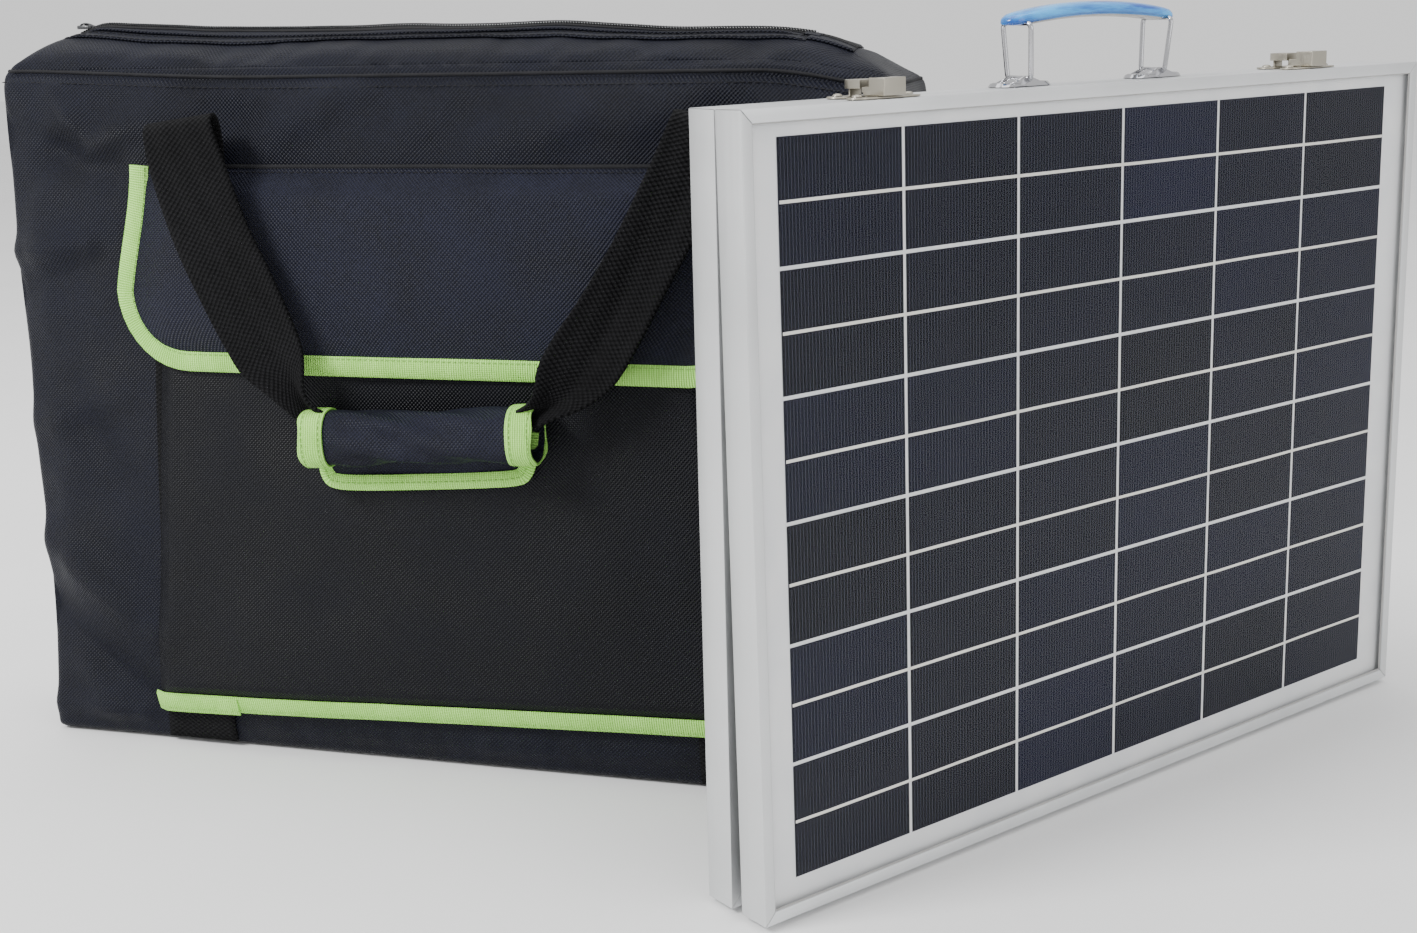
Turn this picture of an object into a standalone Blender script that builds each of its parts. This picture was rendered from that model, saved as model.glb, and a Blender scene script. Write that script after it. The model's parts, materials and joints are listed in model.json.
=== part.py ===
"""Solar suitcase kit: a two-leaf folding solar panel standing in front of its padded carry bag.

Metres, +Z up. The origin is the middle of the bag's base, on the floor: X runs along the bag and
the bag's pocket faces -Y. The two panels stand beside and in front of the bag, turned about Z, in
the frame of the panels empty: there x runs along the panels' long side, the cells of the front
panel face -y, and the hinge pin lies on the line y = 0, z = PIN_Z.
"""

import math

import bmesh
import bpy
from mathutils import Vector

# ---- driving dimensions -------------------------------------------------------------------
GAP = 0.0003             # air left between pieces that touch

PANEL_W = 0.555          # one framed panel, along X
PANEL_H = 0.4175         # one framed panel, upright
FRAME_D = 0.020          # depth of the aluminium frame
WALL = 0.0016            # outer wall of the frame extrusion
LIP = 0.0068             # lip over the glass
LIP_T = 0.0012
FLANGE = 0.012           # back flange of the extrusion
GLASS_T = 0.0032
LAMINATE_T = 0.0010      # cells and backsheet behind the glass
MITRE_GAP = 0.0002

PIN_R = 0.0013
KNUCKLE_R = 0.0027
PIN_Z = KNUCKLE_R        # the knuckles are the lowest point of the folded panels
HINGE_GAP = 0.0085       # the frames stand this far apart at the hinge
TOP_GAP = 0.0006         # and nearly touch at the top
LEAN = math.atan((HINGE_GAP - TOP_GAP) / PANEL_H)
HINGE_X = 0.190
HINGE_W = 0.050
LEAF_T = 0.0020

HARDWARE_X = -0.002      # the latches and the handle are centred a little left of the middle
LATCH_X = 0.176
LEVER_W = 0.015
LEVER_TOP = 0.0105       # above the frame's top edge
LEVER_FRONT = -0.0145    # closed end of the lever, from its pivot
LATCH_PIVOT_Z = 0.0035
SHEET_T = 0.0012         # pressed steel of the latches and brackets
CLAW_ARM = 0.005         # lever pivot to claw pivot

HANDLE_HALF = 0.0558     # handle pivots, either side of the handle's middle
HANDLE_RISE = 0.0305     # pivot to the run that carries the grip
HANDLE_SPREAD = 0.0028   # each loop leans outwards by this much
WIRE_R = 0.0014
GRIP_HALF = 0.0680
GRIP_W = 0.0175
GRIP_T = 0.0082
GRIP_RISE = 0.0052
GRIP_PLAY = (0.0005, 0.0012)   # radial play on the left and right wires: the right one takes up
                               # the difference between the loops' arcs as the handle folds

STAND_PIVOT_Z = 0.030    # stand pivots, above the hinge pin
STAND_LEN = 0.335
STAND_X = 0.250
BAR_W = 0.010
BAR_T = 0.006

PANELS_AT = (0.394, 0.024)
PANELS_TURN = math.radians(53)
BAG_W = 0.574
BAG_D = 0.090
BAG_SEAM_Z = 0.432       # top seams of the front and back walls
BAG_RIDGE_Z = 0.460
BAG_T = 0.005            # padded wall
HIP_RUN = 0.055          # the ridge starts this far in from each end
POCKET_W = 0.412
POCKET_TOP = 0.330
POCKET_BOTTOM = 0.034
POCKET_D = 0.0090
POCKET_T = 0.0025
FLAP_W = 0.392
FLAP_TOP = 0.378
FLAP_BOTTOM = 0.2620
FLAP_T = 0.0030
WEBBING = 0.050
STRAP_T = 0.0030
STRAP_TOP = 0.406        # fold at the top of the bag's handles
HANDLE_SHIFT = 0.0235    # the handles sit a little right of the bag's middle
STRAP_SPREAD = 0.164     # middle of the handle to the middle of each strap, at the fold
GRIP_SPREAD = 0.080      # the same, at the wrapped grip
GRIP_TOP_Z = 0.240
GRIP_SHIFT = -0.0195     # the hanging handle swings back to the left
WRAP_W = 0.150
WRAP_D = 0.026
WRAP_BOTTOM = 0.190

PARTS = "solar_suitcase_kit"
CUTTERS = "cutters"


# ---- scene and material helpers -------------------------------------------------------------
def clear_scene():
    for item in list(bpy.data.objects):
        bpy.data.objects.remove(item, do_unlink=True)


def make_collection(name):
    collection = bpy.data.collections.new(name)
    bpy.context.scene.collection.children.link(collection)
    return collection


def make_material(name, colour, roughness, metallic=0.0):
    material = bpy.data.materials.new(name)
    material.use_nodes = True
    shader = material.node_tree.nodes["Principled BSDF"]
    shader.inputs["Base Color"].default_value = (*colour, 1.0)
    shader.inputs["Roughness"].default_value = roughness
    shader.inputs["Metallic"].default_value = metallic
    material.diffuse_color = (*colour, 1.0)
    return material


def add_object(name, data, parent, material, location=(0, 0, 0), rotation=(0, 0, 0)):
    """Put a mesh or curve in the parts collection, under a parent, with its own material."""
    item = bpy.data.objects.new(name, data)
    bpy.data.collections[PARTS].objects.link(item)
    item.location = location
    item.rotation_euler = rotation
    item.parent = parent
    if material is not None:
        data.materials.append(material)
    return item


def add_empty(name, location, rotation=(0, 0, 0), parent=None):
    empty = bpy.data.objects.new(name, None)
    bpy.data.collections[PARTS].objects.link(empty)
    empty.location = location
    empty.rotation_euler = rotation
    empty.parent = parent
    return empty


def mesh_from(bm, name):
    bmesh.ops.recalc_face_normals(bm, faces=bm.faces)
    mesh = bpy.data.meshes.new(name)
    bm.to_mesh(mesh)
    bm.free()
    return mesh


def box_mesh(name, low, high):
    """A box between two corners."""
    bm = bmesh.new()
    bmesh.ops.create_cube(bm, size=1.0)
    low = Vector(low)
    high = Vector(high)
    size = high - low
    bmesh.ops.scale(bm, vec=size, verts=bm.verts)
    bmesh.ops.translate(bm, vec=(low + high) / 2, verts=bm.verts)
    return mesh_from(bm, name)


def rod_mesh(name, radius, start, end, sides=16):
    """A cylinder between two points."""
    start = Vector(start)
    end = Vector(end)
    axis = end - start
    bm = bmesh.new()
    bmesh.ops.create_cone(bm, cap_ends=True, segments=sides, radius1=radius, radius2=radius,
                          depth=axis.length)
    turn = Vector((0, 0, 1)).rotation_difference(axis).to_matrix()
    bmesh.ops.rotate(bm, cent=(0, 0, 0), matrix=turn, verts=bm.verts)
    bmesh.ops.translate(bm, vec=(start + end) / 2, verts=bm.verts)
    mesh = mesh_from(bm, name)
    mesh.shade_smooth()
    mesh.set_sharp_from_angle(angle=math.radians(35))
    return mesh


def prism_mesh(name, outline, low, high):
    """An outline in X and Y, raised from z = low to z = high."""
    bm = bmesh.new()
    ring = [bm.verts.new((x, y, low)) for x, y in outline]
    face = bm.faces.new(ring)
    raised = bmesh.ops.extrude_face_region(bm, geom=[face])["geom"]
    top = [item for item in raised if isinstance(item, bmesh.types.BMVert)]
    bmesh.ops.translate(bm, vec=(0, 0, high - low), verts=top)
    return mesh_from(bm, name)


def box(name, low, high, parent, material, bevel=0.0):
    item = add_object(name, box_mesh(name, low, high), parent, material)
    if bevel:
        add_bevel(item, bevel)
    return item


def rod(name, radius, start, end, parent, material, sides=16):
    return add_object(name, rod_mesh(name, radius, start, end, sides), parent, material)


def add_bevel(item, width, segments=2):
    modifier = item.modifiers.new("rounded_edges", "BEVEL")
    modifier.width = width
    modifier.segments = segments
    modifier.limit_method = "ANGLE"
    modifier.angle_limit = math.radians(40)


def add_boolean(item, mesh, operation):
    """Join a tool shape to an object, or cut it away, in the object's own frame."""
    tool = bpy.data.objects.new(item.name + "_tool", mesh)
    bpy.data.collections[CUTTERS].objects.link(tool)
    tool.parent = item
    tool.hide_render = True
    tool.display_type = "WIRE"
    modifier = item.modifiers.new(operation.lower(), "BOOLEAN")
    modifier.operation = operation
    modifier.object = tool


def join(item, mesh):
    add_boolean(item, mesh, "UNION")


def cut(item, mesh):
    add_boolean(item, mesh, "DIFFERENCE")


def arc(centre, radius, start, end, steps=8):
    """Points on an arc, angles in degrees."""
    points = []
    for step in range(steps + 1):
        angle = math.radians(start + (end - start) * step / steps)
        points.append((centre[0] + radius * math.cos(angle), centre[1] + radius * math.sin(angle)))
    return points


def stadium(half_length, half_width, y_middle=0.0):
    """A plate outline with round ends, its long side along X."""
    centre = half_length - half_width
    right = arc((centre, y_middle), half_width, -90, 90)
    left = arc((-centre, y_middle), half_width, 90, 270)
    return right + left


# ---- frame and laminate of one panel -----------------------------------------------------------
def rail_profile():
    """Section of the frame extrusion: (distance in from the edge, depth from the outer face)."""
    slot_back = LIP_T + GLASS_T + LAMINATE_T + 3 * GAP
    shelf_back = slot_back + LIP_T
    back_inner = FRAME_D - LIP_T
    return [
        (0.0, 0.0),
        (LIP, 0.0),
        (LIP, LIP_T),
        (WALL, LIP_T),
        (WALL, slot_back),
        (LIP, slot_back),
        (LIP, shelf_back),
        (WALL, shelf_back),
        (WALL, back_inner),
        (FLANGE, back_inner),
        (FLANGE, FRAME_D),
        (0.0, FRAME_D),
    ]


def rail_mesh(name, length):
    """A mitred rail along X. Its outer edge is on z = 0 and its section reaches up and back."""
    bm = bmesh.new()
    half = length / 2 - MITRE_GAP
    ring = [bm.verts.new((-half, depth, inward)) for inward, depth in rail_profile()]
    section = bm.faces.new(ring)
    raised = bmesh.ops.extrude_face_region(bm, geom=[section])["geom"]
    for vertex in raised:
        if isinstance(vertex, bmesh.types.BMVert):
            vertex.co.x = half
    for vertex in bm.verts:
        inward = vertex.co.z
        vertex.co.x -= math.copysign(inward, vertex.co.x)
    return mesh_from(bm, name)


def make_frame(side, panel, outer_y, bottom):
    """The four rails of one panel's frame, turned about Y round the frame's middle."""
    middle = bottom + PANEL_H / 2
    rails = [
        ("bottom_rail", PANEL_W, 0, PANEL_H / 2),
        ("left_stile", PANEL_H, 90, PANEL_W / 2),
        ("top_rail", PANEL_W, 180, PANEL_H / 2),
        ("right_stile", PANEL_H, 270, PANEL_W / 2),
    ]
    for label, length, turn, reach in rails:
        angle = math.radians(turn)
        name = side + "_" + label
        place = (-reach * math.sin(angle), outer_y, middle - reach * math.cos(angle))
        add_object(name, rail_mesh(name, length), panel, MATERIALS["aluminium"], place, (0, angle, 0))


def make_laminate(side, panel, outer_y, bottom):
    """The glass, and the sheet of cells and backsheet behind it."""
    edge = WALL + GAP
    half = PANEL_W / 2 - edge
    low = bottom + edge
    high = bottom + PANEL_H - edge
    glass_y = outer_y + LIP_T + GAP
    cells_y = glass_y + GLASS_T + GAP
    box(side + "_glass", (-half, glass_y, low), (half, glass_y + GLASS_T, high), panel,
        MATERIALS["glass"])
    box(side + "_cell_laminate", (-half, cells_y, low), (half, cells_y + LAMINATE_T, high), panel,
        MATERIALS["cells"])
    return cells_y + LAMINATE_T


def make_junction_box(side, panel, back_y, bottom):
    """Junction box glued to the back of the laminate, with its lid."""
    x_middle = 0.120
    z_middle = bottom + PANEL_H - 0.095
    half_w = 0.040
    half_h = 0.028
    body_d = 0.0085
    lid_d = 0.0025
    low = (x_middle - half_w, back_y + GAP, z_middle - half_h)
    high = (x_middle + half_w, back_y + GAP + body_d, z_middle + half_h)
    box(side + "_junction_box", low, high, panel, MATERIALS["black_plastic"], 0.0015)
    lid_low = (low[0], high[1] + GAP, low[2])
    lid_high = (high[0], high[1] + GAP + lid_d, high[2])
    box(side + "_junction_box_lid", lid_low, lid_high, panel, MATERIALS["black_plastic"], 0.0008)


def make_stand(side, panel, inner_y):
    """Folding stand: two flat legs and a foot bar, stowed in the cavity behind the laminate."""
    pivot_y = inner_y - LIP_T - GAP * 2 - BAR_T / 2
    pivot = add_empty(side + "_stand_pivot", (0, pivot_y, STAND_PIVOT_Z), parent=panel)
    for label, x in (("left", -STAND_X), ("right", STAND_X)):
        low = (x - BAR_W / 2, -BAR_T / 2, -BAR_W / 2)
        high = (x + BAR_W / 2, BAR_T / 2, STAND_LEN)
        box(side + "_stand_" + label + "_leg", low, high, pivot, MATERIALS["aluminium"], 0.0010)
    reach = STAND_X - BAR_W / 2 - GAP
    rod(side + "_stand_foot_bar", BAR_T / 2, (-reach, 0, STAND_LEN - BAR_W),
        (reach, 0, STAND_LEN - BAR_W), pivot, MATERIALS["aluminium"])


def make_panel(side, panel):
    """One framed panel in its own frame: the hinge pin is at the origin, cells face -Y."""
    inner_y = -HINGE_GAP / 2
    outer_y = inner_y - FRAME_D
    bottom = GAP
    make_frame(side, panel, outer_y, bottom)
    back_y = make_laminate(side, panel, outer_y, bottom)
    make_junction_box(side, panel, back_y, bottom)
    make_stand(side, panel, inner_y)
    return back_y


def make_controller(panel, back_y):
    """Charge controller on the back of the rear panel: a finned base with a cover."""
    x_middle = 0.110
    z_middle = 0.165
    half_w = 0.052
    half_h = 0.038
    base_d = 0.0060
    cover_d = 0.0110
    low = (x_middle - half_w, back_y + GAP, z_middle - half_h)
    high = (x_middle + half_w, back_y + GAP + base_d, z_middle + half_h)
    box("charge_controller_base", low, high, panel, MATERIALS["aluminium"])
    inset = 0.004
    cover_low = (low[0] + inset, high[1] + GAP, low[2] + inset)
    cover_high = (high[0] - inset, high[1] + GAP + cover_d, high[2] - inset)
    box("charge_controller_cover", cover_low, cover_high, panel, MATERIALS["black_plastic"], 0.0020)


# ---- hinges between the panels --------------------------------------------------------------------
def make_leaf(name, panel, x_middle, knuckles):
    """A hinge leaf on the bottom rail's back flange, with its share of the barrel."""
    leaf_y = -HINGE_GAP / 2 + GAP
    low = (x_middle - HINGE_W / 2, leaf_y, KNUCKLE_R + 0.0005)
    high = (x_middle + HINGE_W / 2, leaf_y + LEAF_T, FLANGE - 0.0005)
    leaf = box(name, low, high, panel, MATERIALS["steel"])
    for start, end in knuckles:
        web_low = (x_middle + start, leaf_y, 0.0)
        web_high = (x_middle + end, leaf_y + LEAF_T, KNUCKLE_R + 0.0010)
        join(leaf, box_mesh(name + "_web", web_low, web_high))
        join(leaf, rod_mesh(name + "_knuckle", KNUCKLE_R, (x_middle + start, 0, 0),
                            (x_middle + end, 0, 0)))
    reach = HINGE_W / 2 + 0.001
    cut(leaf, rod_mesh(name + "_bore", PIN_R + GAP, (x_middle - reach, 0, 0),
                       (x_middle + reach, 0, 0)))


def make_hinges(panels, front, rear):
    """Two butt hinges: three knuckles each, two on the rear leaf and one on the front leaf."""
    half = HINGE_W / 2
    inner = HINGE_W / 6
    for label, x in (("left", -HINGE_X), ("right", HINGE_X)):
        make_leaf("front_" + label + "_hinge_leaf", front, x, [(-inner + GAP, inner - GAP)])
        make_leaf("rear_" + label + "_hinge_leaf", rear, -x, [(-half, -inner), (inner, half)])
        rod(label + "_hinge_pin", PIN_R, (x - half, 0, PIN_Z), (x + half, 0, PIN_Z), panels,
            MATERIALS["steel"])


# ---- latches on the top edge ------------------------------------------------------------------------
def make_latch_base(name, seat):
    """Screwed-down plate with two ears that carry the lever."""
    plate = prism_mesh(name, stadium(0.0230, 0.0065, -0.0060), GAP, SHEET_T)
    base = add_object(name, plate, seat, MATERIALS["nickel"])
    ear_x = LEVER_W / 2 - SHEET_T - 0.0011
    for side in (-1, 1):
        low = (side * ear_x - SHEET_T / 2, -0.0020, SHEET_T / 2)
        high = (side * ear_x + SHEET_T / 2, 0.0016, LATCH_PIVOT_Z + 0.0015)
        join(base, box_mesh(name + "_ear", low, high))


def make_latch_lever(name, pivot):
    """Box-shaped lever: a top, a closed front end and two cheeks that reach back to the pivot."""
    half = LEVER_W / 2
    inside = half - SHEET_T
    top = LEVER_TOP - LATCH_PIVOT_Z
    low = 0.0016 - LATCH_PIVOT_Z
    lever = box(name, (-half, LEVER_FRONT, low), (half, 0.0022, top), pivot, MATERIALS["nickel"])
    cut(lever, box_mesh(name + "_inside", (-inside, LEVER_FRONT + SHEET_T, -0.02),
                        (inside, 0.02, top - SHEET_T)))
    cut(lever, box_mesh(name + "_top_notch", (-inside, -0.0062, 0.0), (inside, 0.02, 0.02)))
    cut(lever, box_mesh(name + "_cheek_notch", (-0.02, -0.0030, 0.0025), (0.02, 0.02, 0.02)))
    heel_low = (-0.02, 0.0010, -0.02)
    heel_high = (0.02, 0.02, -0.0003)
    cut(lever, box_mesh(name + "_heel_notch", heel_low, heel_high))


def make_latch_claw(name, pivot):
    """Claw: a narrow tongue under the lever and a round head with a slot for the keeper's lip."""
    half = LEVER_W / 2
    head_start = 0.0085
    head_end = 0.0245
    head_low = 0.0016
    head_high = 0.0060
    tongue_half = 0.0040
    head = [(-half, head_start), (half, head_start)] + arc((0, head_end - half), half, 0, 180)
    claw = add_object(name, prism_mesh(name, head, head_low, head_high), pivot, MATERIALS["nickel"])
    join(claw, box_mesh(name + "_riser", (-tongue_half, head_start - 0.0005, -0.0010),
                        (tongue_half, head_start + 0.0015, head_low + 0.0010)))
    join(claw, box_mesh(name + "_tongue", (-tongue_half + 0.0002, -0.0016, -0.0008),
                        (tongue_half - 0.0002, head_start + 0.0005, 0.0006)))
    cut(claw, box_mesh(name + "_slot", (-0.0048, 0.0185, -0.02), (0.0048, 0.0222, 0.02)))


def make_keeper(name, seat):
    """Keeper plate with an upturned lip."""
    plate = prism_mesh(name, stadium(0.0185, 0.0065), GAP, SHEET_T)
    keeper = add_object(name, plate, seat, MATERIALS["nickel"])
    join(keeper, box_mesh(name + "_lip", (-0.0040, 0.0007, SHEET_T / 2),
                          (0.0040, 0.0007 + SHEET_T, 0.0075)))


def make_latches(front, rear):
    """Two draw latches: the lever side on the front panel, the keeper on the rear panel."""
    top = GAP + PANEL_H
    pivot_y = -HINGE_GAP / 2 - 0.0043
    keeper_y = -HINGE_GAP / 2 - 0.0093
    for label, x in (("left", HARDWARE_X - LATCH_X), ("right", HARDWARE_X + LATCH_X)):
        seat = add_empty(label + "_latch_seat", (x, pivot_y, top), parent=front)
        make_latch_base(label + "_latch_base", seat)
        hinge = add_empty(label + "_latch_pivot", (x, pivot_y, top + LATCH_PIVOT_Z), parent=front)
        make_latch_lever(label + "_latch_lever", hinge)
        claw_hinge = add_empty(label + "_claw_pivot",
                               (x, pivot_y - CLAW_ARM, top + LATCH_PIVOT_Z), parent=front)
        make_latch_claw(label + "_latch_claw", claw_hinge)
        keeper_seat = add_empty(label + "_keeper_seat", (-x, keeper_y, top), (0, 0, math.pi), rear)
        make_keeper(label + "_latch_keeper", keeper_seat)


# ---- carry handle on the top edge ----------------------------------------------------------------------
def make_bracket(name, seat, pivot_z):
    """Oval saddle bracket: a plate with a hump that the wire loop turns in."""
    plate = prism_mesh(name, stadium(0.0210, 0.0085), GAP, SHEET_T)
    bracket = add_object(name, plate, seat, MATERIALS["chrome"])
    hump_half = 0.0060
    hump_depth = 0.0064
    join(bracket, box_mesh(name + "_hump", (-hump_half, -hump_depth, SHEET_T / 2),
                           (hump_half, hump_depth, pivot_z + WIRE_R + 0.0014)))
    cut(bracket, rod_mesh(name + "_tunnel", WIRE_R + GAP, (0, -0.02, pivot_z), (0, 0.02, pivot_z)))


def make_loop(name, pivot, spread):
    """Closed wire loop: its lower run turns in a bracket and its upper run carries the grip."""
    half_low = 0.0089
    half_high = 0.0107
    corners = [(0, -half_low, 0), (0, half_low, 0), (spread, half_high, HANDLE_RISE),
               (spread, -half_high, HANDLE_RISE)]
    curve = bpy.data.curves.new(name, "CURVE")
    curve.dimensions = "3D"
    spline = curve.splines.new("POLY")
    bend = 0.12
    points = []
    for index, corner in enumerate(corners):
        here = Vector(corner)
        before = Vector(corners[index - 1])
        after = Vector(corners[(index + 1) % 4])
        short = min((before - here).length, (after - here).length) * bend
        points.append(here + (before - here).normalized() * short)
        points.append(here + (after - here).normalized() * short)
    spline.points.add(len(points) - 1)
    for point, place in zip(spline.points, points):
        point.co = (*place, 1.0)
    spline.use_cyclic_u = True
    curve.bevel_depth = WIRE_R
    curve.bevel_resolution = 2
    add_object(name, curve, pivot, MATERIALS["chrome"])


def make_grip(name, seat):
    """Arched grip with a cross bore near each end for the wire loops."""
    bm = bmesh.new()
    bmesh.ops.create_cube(bm, size=1.0)
    bmesh.ops.scale(bm, vec=(2 * GRIP_HALF, GRIP_W, GRIP_T), verts=bm.verts)
    long_edges = [edge for edge in bm.edges
                  if abs(edge.verts[0].co.x - edge.verts[1].co.x) > GRIP_HALF]
    bmesh.ops.subdivide_edges(bm, edges=long_edges, cuts=11, use_grid_fill=True)
    for vertex in bm.verts:
        along = vertex.co.x / GRIP_HALF
        vertex.co.z += GRIP_RISE * (1 - along * along)
        vertex.co.y *= 1 - 0.22 * along ** 4
    grip = add_object(name, mesh_from(bm, name), seat, MATERIALS["blue_plastic"])
    add_bevel(grip, 0.0026)
    loop_x = HANDLE_HALF + HANDLE_SPREAD
    for side, play in zip((-1, 1), GRIP_PLAY):
        cut(grip, rod_mesh(name + "_bore", WIRE_R + play, (side * loop_x, -0.02, 0),
                           (side * loop_x, 0.02, 0), 12))


def make_handle(panels, top_z, y_middle):
    pivot_z = 0.0033
    for label, side in (("left", -1), ("right", 1)):
        x = HARDWARE_X + side * HANDLE_HALF
        seat = add_empty(label + "_bracket_seat", (x, y_middle, top_z), parent=panels)
        make_bracket(label + "_handle_bracket", seat, pivot_z)
        pivot = add_empty(label + "_loop_pivot", (x, y_middle, top_z + pivot_z), parent=panels)
        make_loop(label + "_handle_loop", pivot, side * HANDLE_SPREAD)
    grip_seat = add_empty("grip_seat", (HARDWARE_X, y_middle, top_z + pivot_z + HANDLE_RISE),
                          parent=panels)
    make_grip("carry_grip", grip_seat)


# ---- carry bag --------------------------------------------------------------------------------------------
def make_bag_body(bag):
    """Padded walls and floor of the main compartment."""
    fabric = MATERIALS["nylon"]
    top = BAG_SEAM_Z
    box("bag_floor", (BAG_T + GAP, BAG_T + GAP, 0), (BAG_W - BAG_T - GAP, BAG_D - BAG_T - GAP, BAG_T),
        bag, fabric)
    box("bag_front_wall", (0, 0, 0), (BAG_W, BAG_T, top), bag, fabric)
    box("bag_rear_wall", (0, BAG_D - BAG_T, 0), (BAG_W, BAG_D, top), bag, fabric)
    low = BAG_T + GAP
    high = BAG_D - BAG_T - GAP
    outline = [(low, 0), (high, 0), (high, top), (low, top)]
    for name, x in (("bag_left_end", 0), ("bag_right_end", BAG_W - BAG_T)):
        end = prism_mesh(name, outline, 0, BAG_T)
        add_object(name, end, bag, fabric, (x, 0, 0), (math.pi / 2, 0, math.pi / 2))


def make_roof(name, bag, seam_y, outward):
    """One side of the roof over the zip: a sloping flap hinged on its top seam."""
    rise = BAG_RIDGE_Z - BAG_SEAM_Z
    run = BAG_D / 2
    slope = math.atan2(rise, run)
    length = math.hypot(rise, run) - BAG_T / 2
    half = BAG_W / 2
    outline = [(-half, 0), (half, 0), (half - HIP_RUN, length), (HIP_RUN - half, length)]
    hinge = add_empty(name + "_seam", (half, seam_y, BAG_SEAM_Z + 2 * GAP),
                      (slope, 0, 0 if outward > 0 else math.pi), bag)
    plate = prism_mesh(name, outline, GAP, BAG_T * 0.7)
    add_object(name, plate, hinge, MATERIALS["nylon"])


def make_hip(name, bag, x, turn):
    """Sloping triangle that closes one end of the roof."""
    rise = BAG_RIDGE_Z - BAG_SEAM_Z
    slope = math.atan2(rise, HIP_RUN)
    reach = math.hypot(rise, HIP_RUN) - 0.012
    half = BAG_D / 2 - 0.009
    outline = [(-half, 0.001), (half, 0.001), (0.0015, reach), (-0.0015, reach)]
    corner = add_empty(name + "_corner", (x, BAG_D / 2, BAG_SEAM_Z + 0.0045), (0, 0, turn), bag)
    plate = prism_mesh(name, outline, GAP, BAG_T * 0.7)
    add_object(name, plate, corner, MATERIALS["nylon"], rotation=(slope, 0, 0))


def make_pocket(bag):
    """Front pocket: a shallow tray sewn to the front wall, and the flap that closes it."""
    middle = BAG_W / 2
    half = POCKET_W / 2
    front = -GAP - POCKET_D
    tray = box("bag_pocket_panel", (middle - half, front, POCKET_BOTTOM),
               (middle + half, -GAP, POCKET_TOP), bag, MATERIALS["nylon"])
    inside = half - POCKET_T
    cut(tray, box_mesh("pocket_inside", (middle - inside, front + POCKET_T, POCKET_BOTTOM + POCKET_T),
                       (middle + inside, 0.02, POCKET_TOP + 0.02)))
    flap_y = front - GAP - FLAP_T
    hinge = add_empty("pocket_flap_seam", (middle, flap_y + FLAP_T / 2, FLAP_TOP), parent=bag)
    half_flap = FLAP_W / 2
    round_r = 0.030
    drop = FLAP_TOP - FLAP_BOTTOM
    right = arc((half_flap - round_r, round_r - drop), round_r, -90, 0, 6)
    left = arc((round_r - half_flap, round_r - drop), round_r, 180, 270, 6)
    outline = [(half_flap, 0), (-half_flap, 0)] + left + right
    flap = prism_mesh("bag_pocket_flap", outline, -FLAP_T / 2, FLAP_T / 2)
    add_object("bag_pocket_flap", flap, hinge, MATERIALS["nylon"], rotation=(math.pi / 2, 0, 0))
    return flap_y


def strap_outline():
    """Webbing handle hanging down: two straps that slant in to a level grip run."""
    half = WEBBING / 2
    drop = STRAP_TOP - GRIP_TOP_Z
    run = 0.036
    right = [(GRIP_SPREAD, -drop - run), (GRIP_SPREAD + half * 1.3, -drop - run * 0.35),
             (STRAP_SPREAD + half, 0.0), (STRAP_SPREAD - half, 0.0), (GRIP_SPREAD - half * 0.6, -drop)]
    left = [(-x, z) for x, z in reversed(right)]
    return [(x + GRIP_SHIFT * z / -drop, z) for x, z in right + left]


def make_bag_handle(name, bag, y):
    """A U-shaped webbing handle in the plane y, turning about its top fold."""
    hinge = add_empty(name + "_fold", (BAG_W / 2 + HANDLE_SHIFT, y, STRAP_TOP), parent=bag)
    strap = prism_mesh(name, strap_outline(), -STRAP_T / 2, STRAP_T / 2)
    add_object(name, strap, hinge, MATERIALS["webbing"], rotation=(math.pi / 2, 0, 0))
    return hinge


def make_bag_handles(bag, flap_y):
    front_y = flap_y - 0.0125
    hinge = make_bag_handle("bag_front_handle", bag, front_y)
    wrap = box("bag_handle_wrap", (GRIP_SHIFT - WRAP_W / 2, -WRAP_D / 2, WRAP_BOTTOM - STRAP_TOP),
               (GRIP_SHIFT + WRAP_W / 2, WRAP_D / 2, GRIP_TOP_Z + 0.004 - STRAP_TOP), hinge,
               MATERIALS["nylon"], 0.0080)
    slot_half = STRAP_T / 2 + GAP
    cut(wrap, box_mesh("wrap_slot", (-0.2, -slot_half, 0.0018 + WRAP_BOTTOM - STRAP_TOP),
                       (0.2, slot_half, 0.1)))
    make_bag_handle("bag_rear_handle", bag, BAG_D + 0.0035)


def make_zip_slider(bag):
    """Zip slider on the ridge: a body and its pull in one piece."""
    seat = add_empty("zip_slider_seat", (HIP_RUN - 0.011, BAG_D / 2, BAG_RIDGE_Z + 0.0040),
                     parent=bag)
    slider = box("zip_slider", (-0.006, -0.004, 0), (0.006, 0.004, 0.004), seat,
                 MATERIALS["nickel"], 0.0010)
    join(slider, box_mesh("zip_pull", (-0.024, -0.003, 0.0030), (0.002, 0.003, 0.0046)))


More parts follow.
